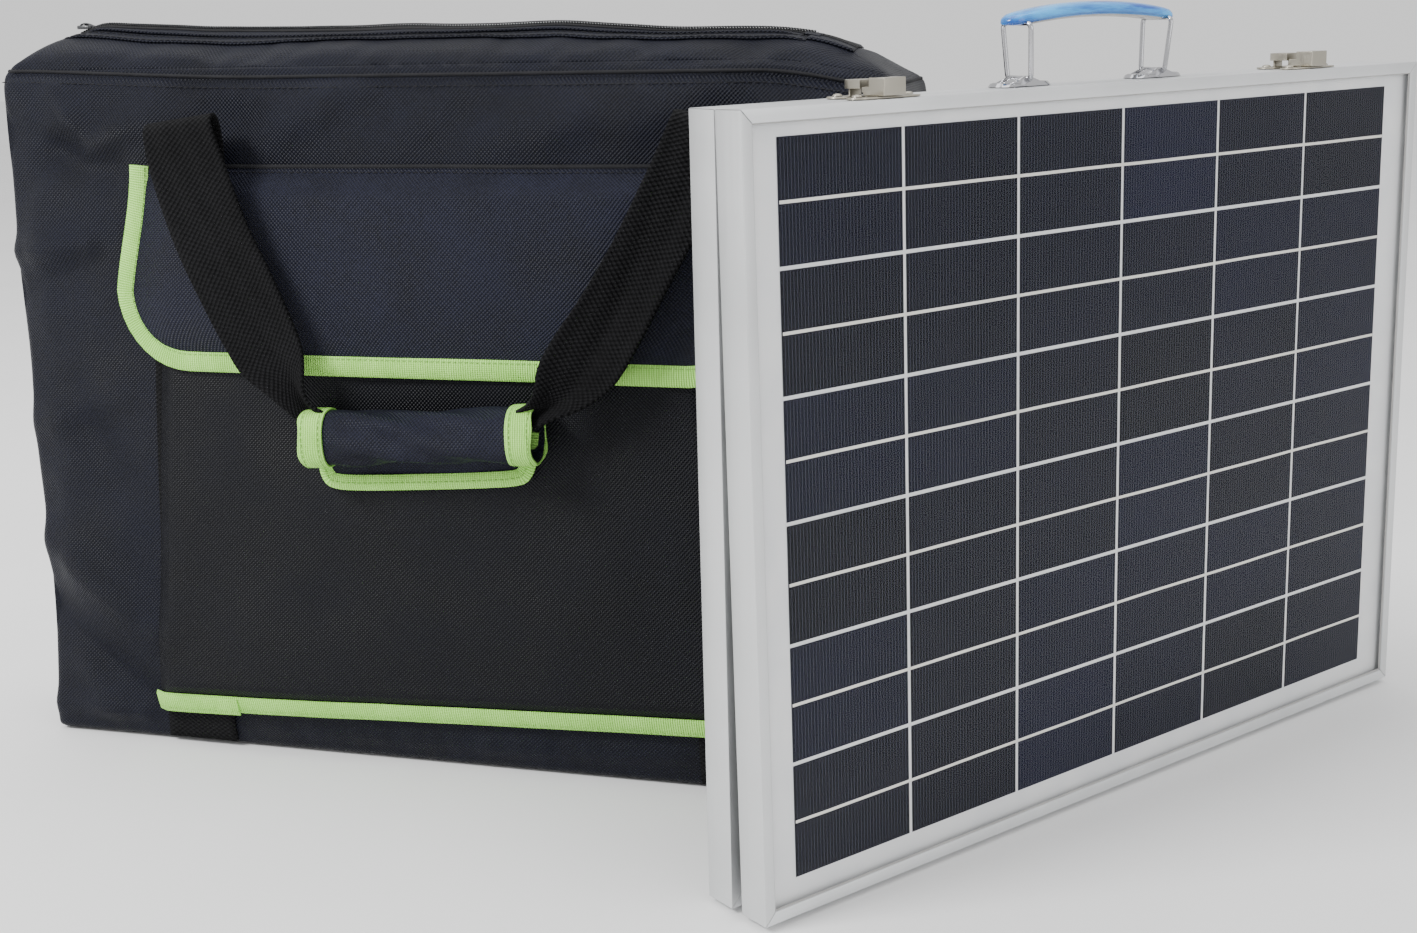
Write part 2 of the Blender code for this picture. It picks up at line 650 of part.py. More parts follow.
# ---- the kit ------------------------------------------------------------------------------------------------
clear_scene()
make_collection(PARTS)
make_collection(CUTTERS)
MATERIALS = {
    "aluminium": make_material("anodised_aluminium", (0.62, 0.63, 0.64), 0.38, 0.9),
    "glass": make_material("low_iron_glass", (0.80, 0.83, 0.85), 0.08),
    "cells": make_material("cells_and_backsheet", (0.02, 0.02, 0.04), 0.30),
    "black_plastic": make_material("black_plastic", (0.02, 0.02, 0.02), 0.50),
    "blue_plastic": make_material("blue_plastic", (0.03, 0.22, 0.55), 0.15),
    "steel": make_material("zinc_steel", (0.55, 0.55, 0.56), 0.35, 1.0),
    "nickel": make_material("nickel_plate", (0.66, 0.64, 0.60), 0.25, 1.0),
    "chrome": make_material("chrome_plate", (0.75, 0.75, 0.76), 0.10, 1.0),
    "nylon": make_material("black_nylon", (0.012, 0.013, 0.018), 0.70),
    "webbing": make_material("black_webbing", (0.008, 0.008, 0.009), 0.85),
}

panels_empty = add_empty("panels_frame", (*PANELS_AT, 0), (0, 0, PANELS_TURN))
rear_empty = add_empty("rear_panel_frame", (0, 0, PIN_Z), (0, 0, math.pi), panels_empty)
front_empty = add_empty("front_panel_frame", (0, 0, PIN_Z), (-LEAN, 0, 0), panels_empty)
make_panel("front", front_empty)
rear_back_y = make_panel("rear", rear_empty)
make_controller(rear_empty, rear_back_y)
make_hinges(panels_empty, front_empty, rear_empty)

make_latches(front_empty, rear_empty)
make_handle(panels_empty, PIN_Z + GAP + PANEL_H, HINGE_GAP / 2 + FRAME_D / 2)

bag_empty = add_empty("bag_frame", (-BAG_W / 2, -BAG_D / 2, 0))
make_bag_body(bag_empty)
make_roof("bag_front_roof", bag_empty, 0.0, 1)
make_roof("bag_rear_roof", bag_empty, BAG_D, -1)
make_hip("bag_left_hip", bag_empty, 0.0, -math.pi / 2)
make_hip("bag_right_hip", bag_empty, BAG_W, math.pi / 2)
pocket_flap_y = make_pocket(bag_empty)
make_bag_handles(bag_empty, pocket_flap_y)
make_zip_slider(bag_empty)
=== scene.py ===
"""Looks of the solar suitcase kit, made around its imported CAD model.

Metres, +Z up, in the row frame: X runs along the bag, whose pocket faces -Y. The two folded panels
stand at the bag's right in a frame of their own, whose X axis is the axis of their fold.
"""

import json
import math
import random

import bmesh
import bpy
import numpy as np
from mathutils import Matrix, Vector, noise
from mathutils.bvhtree import BVHTree

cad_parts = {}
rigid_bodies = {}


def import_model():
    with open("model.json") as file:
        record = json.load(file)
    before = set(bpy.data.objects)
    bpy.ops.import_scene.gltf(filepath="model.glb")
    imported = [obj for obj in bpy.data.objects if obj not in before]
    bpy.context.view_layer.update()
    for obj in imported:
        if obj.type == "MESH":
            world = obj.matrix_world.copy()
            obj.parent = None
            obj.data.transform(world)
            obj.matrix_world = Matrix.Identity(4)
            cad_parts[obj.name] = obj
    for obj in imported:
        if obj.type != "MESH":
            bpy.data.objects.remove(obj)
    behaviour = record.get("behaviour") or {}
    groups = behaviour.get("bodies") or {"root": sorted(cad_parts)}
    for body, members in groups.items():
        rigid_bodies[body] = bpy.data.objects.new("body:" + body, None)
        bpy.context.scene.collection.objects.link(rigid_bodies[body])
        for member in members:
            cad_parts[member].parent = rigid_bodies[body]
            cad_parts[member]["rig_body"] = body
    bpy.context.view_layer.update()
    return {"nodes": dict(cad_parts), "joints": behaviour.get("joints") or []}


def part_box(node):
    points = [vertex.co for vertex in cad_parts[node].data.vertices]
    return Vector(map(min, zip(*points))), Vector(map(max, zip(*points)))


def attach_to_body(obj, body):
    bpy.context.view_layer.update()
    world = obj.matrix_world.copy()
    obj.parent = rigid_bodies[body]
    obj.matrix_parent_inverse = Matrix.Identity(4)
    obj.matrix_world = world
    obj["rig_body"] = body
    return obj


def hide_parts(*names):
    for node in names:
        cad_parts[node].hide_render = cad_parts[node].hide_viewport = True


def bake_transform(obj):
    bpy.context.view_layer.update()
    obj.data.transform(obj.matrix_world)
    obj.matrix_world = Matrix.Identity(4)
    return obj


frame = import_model()
NODES = frame["nodes"]
UP = Vector((0, 0, 1))
OUT = Vector((0, -1, 0))             # away from the bag's front wall

# ---- measures of the soft parts ------------------------------------------------------------------
BAG_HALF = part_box("bag_front_wall")[1].x
BAG_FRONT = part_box("bag_front_wall")[0].y
BAG_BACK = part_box("bag_rear_wall")[1].y
SEAM_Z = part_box("bag_front_wall")[1].z
RIDGE_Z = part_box("bag_front_roof")[1].z
RIDGE_HALF = BAG_HALF - 0.055
LEAN_RIGHT = 0.009                   # the standing bag leans this far to the right at its seam
FOOT_LEFT = 0.0055                   # with its foot shifted this far to the left
SEAM_DRIFT = LEAN_RIGHT - FOOT_LEFT
LEFT_PULL = 0.004                    # the upper left corner is drawn in
LEFT_RISE = 0.0055                   # and stands higher
RIGHT_DROP = 0.0088                  # while the upper right corner hangs
SKIN_PITCH = 0.0075
STANDING_Z = 0.0008                  # the lowest the bag's underside comes
ROOF_CUT_Z = SEAM_Z + 0.0060         # where the roof flaps part from the body
POCKET_D = 0.0085
BINDING_W = 0.0128
BINDING_T = 0.0034
WEBBING_W = 0.050
WEBBING_T = 0.0020

# ---- measures of the cells -----------------------------------------------------------------------
CELL_W = 0.0820
CELL_H = 0.0624
CELL_GAP = 0.0020
CELLS = 6                            # each way
FINGERS = 37


# ---- helpers: nodes of materials -----------------------------------------------------------------
def add_node(material, kind, inputs=None, **settings):
    """A shader node; each input is a value or another node's socket."""
    tree = material.node_tree
    made = tree.nodes.new(kind)
    for key, value in settings.items():
        setattr(made, key, value)
    for key, value in (inputs or {}).items():
        if isinstance(value, bpy.types.NodeSocket):
            tree.links.new(value, made.inputs[key])
        else:
            made.inputs[key].default_value = value
    return made


def math_node(material, operation, first, second=0.0):
    return add_node(material, "ShaderNodeMath", {0: first, 1: second}, operation=operation).outputs[0]


def new_material(name, colour, roughness, metallic=0.0, **sockets):
    material = bpy.data.materials.new(name)
    material.use_nodes = True
    shader = material.node_tree.nodes["Principled BSDF"]
    shader.inputs["Base Color"].default_value = (*colour, 1.0)
    shader.inputs["Roughness"].default_value = roughness
    shader.inputs["Metallic"].default_value = metallic
    for key, value in sockets.items():
        shader.inputs[key.replace("_", " ")].default_value = value
    return material, shader


def coordinates(material, kind="Object"):
    return add_node(material, "ShaderNodeTexCoord").outputs[kind]


def mapped(material, vector, scale, rotation=(0, 0, 0)):
    inputs = {"Vector": vector, "Scale": scale, "Rotation": rotation}
    return add_node(material, "ShaderNodeMapping", inputs).outputs[0]


def noise_node(material, vector, scale, detail=3.0, roughness=0.55):
    inputs = {"Vector": vector, "Scale": scale, "Detail": detail, "Roughness": roughness}
    return add_node(material, "ShaderNodeTexNoise", inputs).outputs["Fac"]


def ramp(material, value, low, high, start=0.0, end=1.0):
    """Value between start and end, as a colour or a number between low and high."""
    inputs = {"Value": value, "From Min": start, "From Max": end}
    if isinstance(low, (int, float)):
        inputs.update({"To Min": low, "To Max": high})
        return add_node(material, "ShaderNodeMapRange", inputs).outputs["Result"]
    share = add_node(material, "ShaderNodeMapRange", inputs).outputs["Result"]
    return mix(material, share, (*low, 1.0), (*high, 1.0))


def mix(material, share, first, second):
    made = add_node(material, "ShaderNodeMix", data_type="RGBA")
    tree = material.node_tree
    for socket, value in ((made.inputs[0], share), (made.inputs[6], first), (made.inputs[7], second)):
        if isinstance(value, bpy.types.NodeSocket):
            tree.links.new(value, socket)
        else:
            socket.default_value = value
    return made.outputs[2]


def bump(material, shader, height, distance, strength=1.0):
    inputs = {"Height": height, "Distance": distance, "Strength": strength}
    normal = add_node(material, "ShaderNodeBump", inputs).outputs[0]
    material.node_tree.links.new(normal, shader.inputs["Normal"])


def connect(material, socket, shader, name):
    material.node_tree.links.new(socket, shader.inputs[name])


def woven(name, dark, light, pitch, roughness, relief, sheen, gloss):
    """Plain weave: thread crossings on a staggered grid, worked out from UVs in metres."""
    material, shader = new_material(name, dark, roughness, Sheen_Weight=sheen, Sheen_Roughness=0.45,
                                    Specular_IOR_Level=gloss)
    axes = add_node(material, "ShaderNodeSeparateXYZ", {"Vector": coordinates(material, "UV")}).outputs
    across = math_node(material, "SINE", math_node(material, "MULTIPLY", axes[0], math.tau / pitch[0]))
    along = math_node(material, "SINE", math_node(material, "MULTIPLY", axes[1], math.tau / pitch[1]))
    height = math_node(material, "MULTIPLY", across, along)
    mottle = noise_node(material, coordinates(material), 22.0, 4.0)
    worn = noise_node(material, coordinates(material), 420.0, 2.0)
    share = math_node(material, "MULTIPLY", ramp(material, height, 0.15, 0.85, -1.0, 1.0),
                      ramp(material, mottle, 0.55, 1.25, 0.3, 0.7))
    share = math_node(material, "ADD", share, ramp(material, worn, -0.12, 0.12, 0.3, 0.7))
    connect(material, ramp(material, share, dark, light), shader, "Base Color")
    uneven = ramp(material, mottle, roughness - 0.06, roughness + 0.08, 0.3, 0.7)
    connect(material, uneven, shader, "Roughness")
    bump(material, shader, height, relief)
    return material


def ribbed(name, dark, light, pitch, roughness, relief):
    """Grosgrain tape: ribs across its length, which is U of its UVs."""
    material, shader = new_material(name, light, roughness, Sheen_Weight=0.02, Sheen_Roughness=0.5,
                                    Specular_IOR_Level=0.2)
    axes = add_node(material, "ShaderNodeSeparateXYZ", {"Vector": coordinates(material, "UV")}).outputs
    rib = math_node(material, "SINE", math_node(material, "MULTIPLY", axes[0], math.tau / pitch))
    yarn = math_node(material, "SINE", math_node(material, "MULTIPLY", axes[1], math.tau / (pitch * 0.8)))
    weave = math_node(material, "ADD", rib, math_node(material, "MULTIPLY", yarn, 0.35))
    mottle = noise_node(material, coordinates(material), 60.0, 4.0)
    share = math_node(material, "ADD", ramp(material, weave, -0.35, 1.0, -1.35, 1.35),
                      ramp(material, mottle, -0.2, 0.25, 0.3, 0.7))
    connect(material, ramp(material, share, dark, light), shader, "Base Color")
    bump(material, shader, weave, relief)
    return material


def brushed(name, colour, roughness, run, metallic=0.9, depth=0.00003):
    """Metal with fine streaks along the run, a Mapping scale that is small in the streaks' direction."""
    material, shader = new_material(name, colour, roughness, metallic)
    turned = mapped(material, coordinates(material), (1, 1, 1), (0, 0, -PANEL_TURN))
    streak = noise_node(material, mapped(material, turned, run), 1.0, 3.0)
    cloud = noise_node(material, coordinates(material), 18.0, 3.0)
    darker = tuple(part * 0.93 for part in colour)
    connect(material, ramp(material, cloud, darker, colour, 0.3, 0.7), shader, "Base Color")
    spread = math_node(material, "ADD", ramp(material, streak, -0.05, 0.05, 0.3, 0.7),
                       ramp(material, cloud, roughness - 0.03, roughness + 0.05, 0.3, 0.7))
    connect(material, spread, shader, "Roughness")
    bump(material, shader, streak, depth, 0.6)
    return material


def nylon(name, dark, light):
    """The bag's coated cloth: one weave for all its tones, whose lighter and darker copies are painted light
    and painted shade.
    """
    return woven(name, dark, light, (0.0025, 0.0025), 0.44, 0.00030, 0.01, 0.15)


def moulded(name, colour, roughness, grain=900.0, depth=0.00005):
    """Moulded plastic or rubber: fine spark grain and a faint mottle."""
    material, shader = new_material(name, colour, roughness)
    fine = noise_node(material, coordinates(material), grain, 2.0)
    cloud = noise_node(material, coordinates(material), 35.0, 3.0)
    lighter = tuple(min(1.0, part * 1.25 + 0.004) for part in colour)
    connect(material, ramp(material, cloud, colour, lighter, 0.35, 0.75), shader, "Base Color")
    connect(material, ramp(material, fine, roughness - 0.05, roughness + 0.07, 0.3, 0.7), shader, "Roughness")
    bump(material, shader, fine, depth)
    return material


# ---- helpers: meshes -----------------------------------------------------------------------------
def object_from(name, vertices, faces, material, smooth=True):
    mesh = bpy.data.meshes.new(name)
    mesh.from_pydata([tuple(v) for v in vertices], [], faces)
    mesh.validate()
    item = bpy.data.objects.new(name, mesh)
    bpy.context.scene.collection.objects.link(item)
    mesh.materials.append(material)
    mesh.shade_smooth() if smooth else mesh.shade_flat()
    return item


def from_bmesh(name, bm, material):
    mesh = bpy.data.meshes.new(name)
    bm.to_mesh(mesh)
    bm.free()
    item = bpy.data.objects.new(name, mesh)
    bpy.context.scene.collection.objects.link(item)
    mesh.materials.clear()
    mesh.materials.append(material)
    return item


def tube_faces(rings, sides):
    """Quads between rings of points that follow each other."""
    faces = []
    for ring in range(rings - 1):
        base = ring * sides
        for k in range(sides):
            after = (k + 1) % sides
            faces.append((base + k, base + after, base + sides + after, base + sides + k))
    return faces


def attach(body, look, *pieces):
    """The pieces ride on a body; look is not used."""
    for piece in pieces:
        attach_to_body(piece, body)


def apply_modifiers(item):
    depsgraph = bpy.context.evaluated_depsgraph_get()
    mesh = bpy.data.meshes.new_from_object(item.evaluated_get(depsgraph))
    item.modifiers.clear()
    item.data = mesh


def modify(item, kind, **settings):
    modifier = item.modifiers.new(kind.lower(), kind)
    for key, value in settings.items():
        setattr(modifier, key, value)
    apply_modifiers(item)


def smooth_by_angle(item, degrees=35):
    item.data.shade_smooth()
    item.data.set_sharp_from_angle(angle=math.radians(degrees))
    return item


def project_uvs(item):
    """UVs in metres, each face from the side it faces most."""
    mesh = item.data
    layer = mesh.uv_layers.new(name="UVMap")
    for face in mesh.polygons:
        normal = [abs(part) for part in face.normal]
        if normal[1] >= max(normal[0], normal[2]) * 0.95:
            axes = (0, 2)
        elif normal[2] >= normal[0]:
            axes = (0, 1)
        else:
            axes = (1, 2)
        for loop in face.loop_indices:
            place = mesh.vertices[mesh.loops[loop].vertex_index].co
            layer.data[loop].uv = (place[axes[0]], place[axes[1]])


def grid(name, columns, rows, place, material, thickness=0.0, offset=1.0):
    """A sheet of quads; place(u, v) gives its points for u and v from 0 to 1, UVs are in metres."""
    points = [[Vector(place(i / columns, j / rows)) for i in range(columns + 1)]
              for j in range(rows + 1)]
    across = [0.0]
    for i in range(columns):
        across.append(across[-1] + (points[rows // 2][i + 1] - points[rows // 2][i]).length)
    along = [0.0]
    for j in range(rows):
        along.append(along[-1] + (points[j + 1][columns // 2] - points[j][columns // 2]).length)
    vertices = [point for row in points for point in row]
    faces = []
    for j in range(rows):
        for i in range(columns):
            corner = j * (columns + 1) + i
            faces.append((corner, corner + 1, corner + columns + 2, corner + columns + 1))
    item = object_from(name, vertices, faces, material)
    layer = item.data.uv_layers.new(name="UVMap")
    for loop in item.data.loops:
        row, column = divmod(loop.vertex_index, columns + 1)
        layer.data[loop.index].uv = (across[column], along[row])
    if thickness:
        modify(item, "SOLIDIFY", thickness=thickness, offset=offset)
    return item


def sweep(name, points, sides, section, material, closed=False):
    """A section carried along points; its first coordinate is along the side vector at each point."""
    points = [Vector(p) for p in points]
    count = len(points)
    vertices = []
    lengths = [0.0]
    for index, point in enumerate(points):
        before = points[index - 1] if closed or index else point
        after = points[(index + 1) % count] if closed or index + 1 < count else point
        run = (after - before).normalized()
        side = Vector(sides[index])
        side = (side - run * side.dot(run)).normalized()
        face = run.cross(side)
        vertices += [point + side * a + face * b for a, b in section]
        if index:
            lengths.append(lengths[-1] + (point - points[index - 1]).length)
    ring = len(section)
    girth = [0.0]
    for k in range(ring):
        step = Vector(section[(k + 1) % ring]) - Vector(section[k])
        girth.append(girth[-1] + step.length)
    faces = []
    coordinates_uv = []
    for index in range(count if closed else count - 1):
        following = (index + 1) % count
        ends = (lengths[index], lengths[index] + (points[following] - points[index]).length)
        for k in range(ring):
            after = (k + 1) % ring
            faces.append((index * ring + k, index * ring + after,
                          following * ring + after, following * ring + k))
            coordinates_uv += [(ends[0], girth[k]), (ends[0], girth[k + 1]), (ends[1], girth[k + 1]),
                               (ends[1], girth[k])]
    if not closed:
        faces.append(tuple(reversed(range(ring))))
        faces.append(tuple(range((count - 1) * ring, count * ring)))
        coordinates_uv += [(0, k * 0.001) for k in range(2 * ring)]
    item = object_from(name, vertices, faces, material)
    layer = item.data.uv_layers.new(name="UVMap")
    for loop, uv in zip(layer.data, coordinates_uv):
        loop.uv = uv
    bm = bmesh.new()
    bm.from_mesh(item.data)
    bmesh.ops.recalc_face_normals(bm, faces=bm.faces)
    bm.to_mesh(item.data)
    bm.free()
    return smooth_by_angle(item, 50)


def tape_section(width, thickness, bulge=0.25):
    """A flat tape with rounded edges, slightly thicker in the middle."""
    half = width / 2
    thin = thickness / 2
    return [(-half, -thin * 0.4), (-half + thin, -thin), (0, -thin * (1 + bulge)), (half - thin, -thin),
            (half, -thin * 0.4), (half, thin * 0.4), (half - thin, thin), (0, thin * (1 + bulge)),
            (-half + thin, thin), (-half, thin * 0.4)]


def round_section(radius, sides=14):
    return [(radius * math.cos(math.tau * k / sides), radius * math.sin(math.tau * k / sides))
            for k in range(sides)]


def curve_points(knots, steps=10, closed=False):
    """Points on a smooth curve through the knots, which are tuples of numbers of any length."""
    knots = [np.array(knot, float) for knot in knots]
    count = len(knots)
    points = []
    for index in range(count if closed else count - 1):
        four = [knots[(index + shift) % count] if closed else knots[min(max(index + shift, 0), count - 1)]
                for shift in (-1, 0, 1, 2)]
        for step in range(steps):
            t = step / steps
            points.append(0.5 * (2 * four[1] + (four[2] - four[0]) * t
                                 + (2 * four[0] - 5 * four[1] + 4 * four[2] - four[3]) * t ** 2
                                 + (3 * four[1] - four[0] - 3 * four[2] + four[3]) * t ** 3))
    if not closed:
        points.append(knots[-1])
    return points


def stitches(name, points, outwards, material, pitch=0.0042, length=0.0030, radius=0.00032):
    """A row of separate stitches along the points, sitting on the side that outwards gives."""
    points = [Vector(p) for p in points]
    outwards = Vector(outwards)
    lift = outwards.normalized()
    sides = 6
    shape = ((-1, 0.4), (-0.55, 1), (0.55, 1), (1, 0.4))
    one = tube_faces(len(shape), sides)
    one += [tuple(reversed(range(sides))), tuple(range((len(shape) - 1) * sides, len(shape) * sides))]
    vertices = []
    faces = []
    walked = 0.0
    due = pitch / 2
    for start, end in zip(points, points[1:]):
        step = end - start
        while step.length and walked + step.length >= due:
            along = step.normalized()
            middle = start + along * (due - walked) + outwards * radius * 0.6
            run = along * length / 2
            across = along.cross(outwards).normalized()
            base = len(vertices)
            for share, size in shape:
                for k in range(sides):
                    turn = math.tau * k / sides
                    round_part = across * math.cos(turn) + lift * math.sin(turn)
                    vertices.append(middle + run * share + round_part * radius * size)
            faces += [tuple(base + corner for corner in face) for face in one]
            due += pitch
        walked += step.length
    return object_from(name, vertices, faces, material)


def dome(bm, centre, normal, radius, height, slot=False):
    """A low domed rivet or screw head added to a bmesh, with a crossed slot where asked."""
    rings = 4
    sides = 16
    centre = Vector(centre)
    normal = Vector(normal).normalized()
    side = normal.orthogonal().normalized()
    other = normal.cross(side)
    rows = []
    for ring in range(rings + 1):
        turn = math.pi / 2 * ring / rings
        rise = normal * height * math.sin(turn)
        reach = radius * math.cos(turn)
        if ring == rings:
            rows.append([bm.verts.new(centre + rise)])
            continue
        rows.append([bm.verts.new(centre + rise + (side * a + other * b) * reach)
                     for a, b in round_section(1.0, sides)])
    for low, high in zip(rows, rows[1:]):
        for k in range(sides):
            after = (k + 1) % sides
            if len(high) == 1:
                bm.faces.new((low[k], low[after], high[0]))
            else:
                bm.faces.new((low[k], low[after], high[after], high[k]))
    bm.faces.new(list(reversed(rows[0])))
    if slot:
        for turned in (side, other):
            across = normal.cross(turned)
            corners = [turned * a + across * b for a, b in
                       ((-0.5, -0.09), (0.5, -0.09), (0.5, 0.09), (-0.5, 0.09))]
            bm.faces.new([bm.verts.new(centre + corner * radius * 1.1 + normal * height * 1.02)
                          for corner in corners])


def rivets(name, places, normal, radius, height, material, slot=False):
    bm = bmesh.new()
    for place in places:
        dome(bm, place, normal, radius, height, slot=slot)
    return smooth_by_angle(from_bmesh(name, bm, material), 45)


def refined(node, width, material, segments=2):
    """A copy of a CAD node with its edges rounded, shown in its place and riding on its body."""
    bm = bmesh.new()
    bm.from_mesh(NODES[node].data)
    bmesh.ops.remove_doubles(bm, verts=bm.verts, dist=0.00002)
    flat = math.radians(0.6)
    hard = math.radians(30)
    bmesh.ops.dissolve_limit(bm, angle_limit=flat, verts=bm.verts, edges=bm.edges)
    sharp = [edge for edge in bm.edges if edge.is_manifold and edge.calc_face_angle(0) > hard]
    bmesh.ops.bevel(bm, geom=sharp, offset=width, segments=segments, affect="EDGES", profile=0.6,
                    clamp_overlap=True)
    shown_for(smooth_by_angle(from_bmesh(node + "_shown", bm, material), 38), node)


def shown_for(piece, node):
    """The piece rides on the node's body and stands for it."""
    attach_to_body(piece, NODES[node]["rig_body"])
    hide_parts(node)


def span(node, matrix):
    """Lowest and highest corner of a CAD node in the frame of the matrix."""
    back = matrix.inverted()
    places = [back @ v.co for v in NODES[node].data.vertices]
    low = Vector(min(p[k] for p in places) for k in range(3))
    high = Vector(max(p[k] for p in places) for k in range(3))
    return low, high


def smoothstep(value, low, high):
    share = min(max((value - low) / (high - low), 0.0), 1.0)
    return share * share * (3 - 2 * share)


# ---- frames of the panels ------------------------------------------------------------------------
FOLD = next(joint for joint in frame["joints"] if joint["name"] == "panel_fold")
FOLD_AXIS = Vector(FOLD["axis"]).normalized()
PANEL_TURN = math.atan2(FOLD_AXIS.y, FOLD_AXIS.x)
PANELS = Matrix.Translation(FOLD["pos_m"]) @ Matrix.Rotation(PANEL_TURN, 4, "Z")
REAR = PANELS @ Matrix.Rotation(math.pi, 4, "Z")


def lean_of_front():
    """How far the front panel leans back, from the outer corners of its left stile."""
    back = PANELS.inverted()
    places = [back @ v.co for v in NODES["front_left_stile"].data.vertices]
    height = max(p.z for p in places)
    low = min(p.y for p in places if p.z < height * 0.02)
    high = min(p.y for p in places if p.z > height * 0.98)
    return math.atan((high - low) / height)


FRONT = PANELS @ Matrix.Rotation(-lean_of_front(), 4, "X")
SIDES = {"front": FRONT, "rear": REAR}

# ---- materials -----------------------------------------------------------------------------------
ALONG_RAIL = (6, 900, 900)
UP_STILE = (900, 900, 6)
RAIL = brushed("anodised_rail", (0.70, 0.71, 0.72), 0.40, ALONG_RAIL, 0.75)
STILE = brushed("anodised_stile", (0.66, 0.67, 0.675), 0.42, UP_STILE, 0.75)
STEEL = brushed("zinc_steel", (0.55, 0.555, 0.56), 0.33, ALONG_RAIL, 1.0)
NICKEL = brushed("warm_nickel", (0.40, 0.375, 0.315), 0.32, (300, 300, 300), 0.85, 0.00002)
CHROME = brushed("chrome", (0.50, 0.50, 0.52), 0.12, (60, 60, 60), 1.0, 0.000005)
BLACK_PLASTIC = moulded("black_plastic", (0.018, 0.018, 0.019), 0.48)
DARK_RUBBER = moulded("dark_rubber", (0.012, 0.012, 0.012), 0.75)
GREY_PLASTIC = moulded("grey_plastic", (0.36, 0.355, 0.345), 0.38)
BACKSHEET = moulded("white_backsheet", (0.90, 0.91, 0.93), 0.35, 300.0, 0.00001)
NYLON = nylon("coated_nylon", (0.0010, 0.0012, 0.0026), (0.0080, 0.0094, 0.0200))
# Painted light: a lighter copy of the cloth, for the flap and the handle's wrap where they bulge out to the
# light.
PAINTED_LIT_NYLON = nylon("painted_lit_nylon", (0.0012, 0.0014, 0.0030), (0.0150, 0.0170, 0.0350))
# Painted shade: a darker copy of the cloth, for the pocket below the flap.
PAINTED_SHADE_NYLON = nylon("painted_shade_nylon", (0.0008, 0.0009, 0.0014), (0.0062, 0.0068, 0.0112))
LINING = woven("grey_lining", (0.020, 0.021, 0.024), (0.042, 0.044, 0.048), (0.0016, 0.0016),
               0.75, 0.00010, 0.03, 0.2)
WEBBING = woven("black_webbing", (0.0010, 0.0010, 0.0012), (0.0125, 0.0125, 0.0140), (0.0044, 0.0032),
                0.75, 0.00070, 0.01, 0.09)
GREEN = ribbed("green_grosgrain", (0.28, 0.66, 0.10), (0.54, 1.0, 0.24), 0.0015, 0.62, 0.00022)
THREAD = ribbed("black_thread", (0.004, 0.004, 0.005), (0.018, 0.018, 0.022), 0.0006, 0.7, 0.00005)
GREEN_THREAD = ribbed("green_thread", (0.22, 0.46, 0.09), (0.36, 0.68, 0.17), 0.0006, 0.7, 0.00005)
ZIP_TAPE = ribbed("zip_tape", (0.004, 0.004, 0.005), (0.020, 0.020, 0.022), 0.0012, 0.75, 0.00010)
ZIP_COIL = moulded("zip_coil", (0.030, 0.031, 0.034), 0.34)


def cell_material():
    """Blue-black silicon with fine fingers; U and V run from 0 to 1 over a cell."""
    material, shader = new_material("silicon_cells", (0.012, 0.012, 0.024), 0.30, 0.0,
                                    Specular_IOR_Level=0.09)
    axes = add_node(material, "ShaderNodeSeparateXYZ", {"Vector": coordinates(material, "UV")}).outputs
    turn = math_node(material, "MULTIPLY", axes[0], math.tau * FINGERS)
    finger = ramp(material, math_node(material, "COSINE", turn), 0.0, 1.0, 0.80, 0.97)
    tint = add_node(material, "ShaderNodeAttribute", attribute_name="tint").outputs["Fac"]
    cloud = noise_node(material, coordinates(material), 9.0, 4.0)
    silicon = ramp(material, tint, (0.0040, 0.0034, 0.0070), (0.0062, 0.0064, 0.0220))
    deeper = ramp(material, cloud, (0.70, 0.70, 0.72), (1.15, 1.10, 1.18), 0.3, 0.7)
    tinted = add_node(material, "ShaderNodeMix", data_type="RGBA", blend_type="MULTIPLY")
    tinted.inputs[0].default_value = 1.0
    material.node_tree.links.new(silicon, tinted.inputs[6])
    material.node_tree.links.new(deeper, tinted.inputs[7])
    share = math_node(material, "MULTIPLY", finger, 0.80)
    colour = mix(material, share, tinted.outputs[2], (0.080, 0.076, 0.118, 1.0))
    connect(material, colour, shader, "Base Color")
    return material


def glass_material():
    """The clear pane, nearly transparent: little of its own gloss shows."""
    material, shader = new_material("clear_glass", (0.04, 0.05, 0.05), 0.04, 0.0, Alpha=0.08)
    smear = noise_node(material, coordinates(material), 6.0, 4.0)
    connect(material, ramp(material, smear, 0.02, 0.10, 0.35, 0.75), shader, "Roughness")
    return material


def grip_material():
    """Marbled translucent blue: lighter streaks along the grip, and painted shade that darkens it towards its
    lower rim.
    """
    material, shader = new_material("marbled_blue", (0.03, 0.22, 0.62), 0.16, 0.0,
                                    Coat_Weight=0.20, Coat_Roughness=0.04, Subsurface_Weight=0.10)
    shader.inputs["Subsurface Radius"].default_value = (0.002, 0.004, 0.008)
    shader.inputs["Subsurface Scale"].default_value = 0.5
    turned = mapped(material, coordinates(material), (1, 1, 1), (0, 0, -PANEL_TURN))
    swirl = noise_node(material, mapped(material, turned, (22, 150, 170)), 1.0, 5.0, 0.6)
    marbled = ramp(material, swirl, (0.000, 0.085, 0.430), (0.060, 0.420, 0.880), 0.38, 0.62)
    # Painted shade: the rim attribute darkens the grip's lower flanks and its ends.
    rim = add_node(material, "ShaderNodeAttribute", attribute_name="rim").outputs["Fac"]
    colour = mix(material, rim, marbled, (0.004, 0.060, 0.260, 1.0))
    connect(material, colour, shader, "Base Color")
    return material


CELL = cell_material()
GLASS = glass_material()
GRIP_BLUE = grip_material()
RIBBON = brushed("tinned_ribbon", (0.86, 0.84, 0.79), 0.36, (120, 900, 900), 0.55, 0.00006)


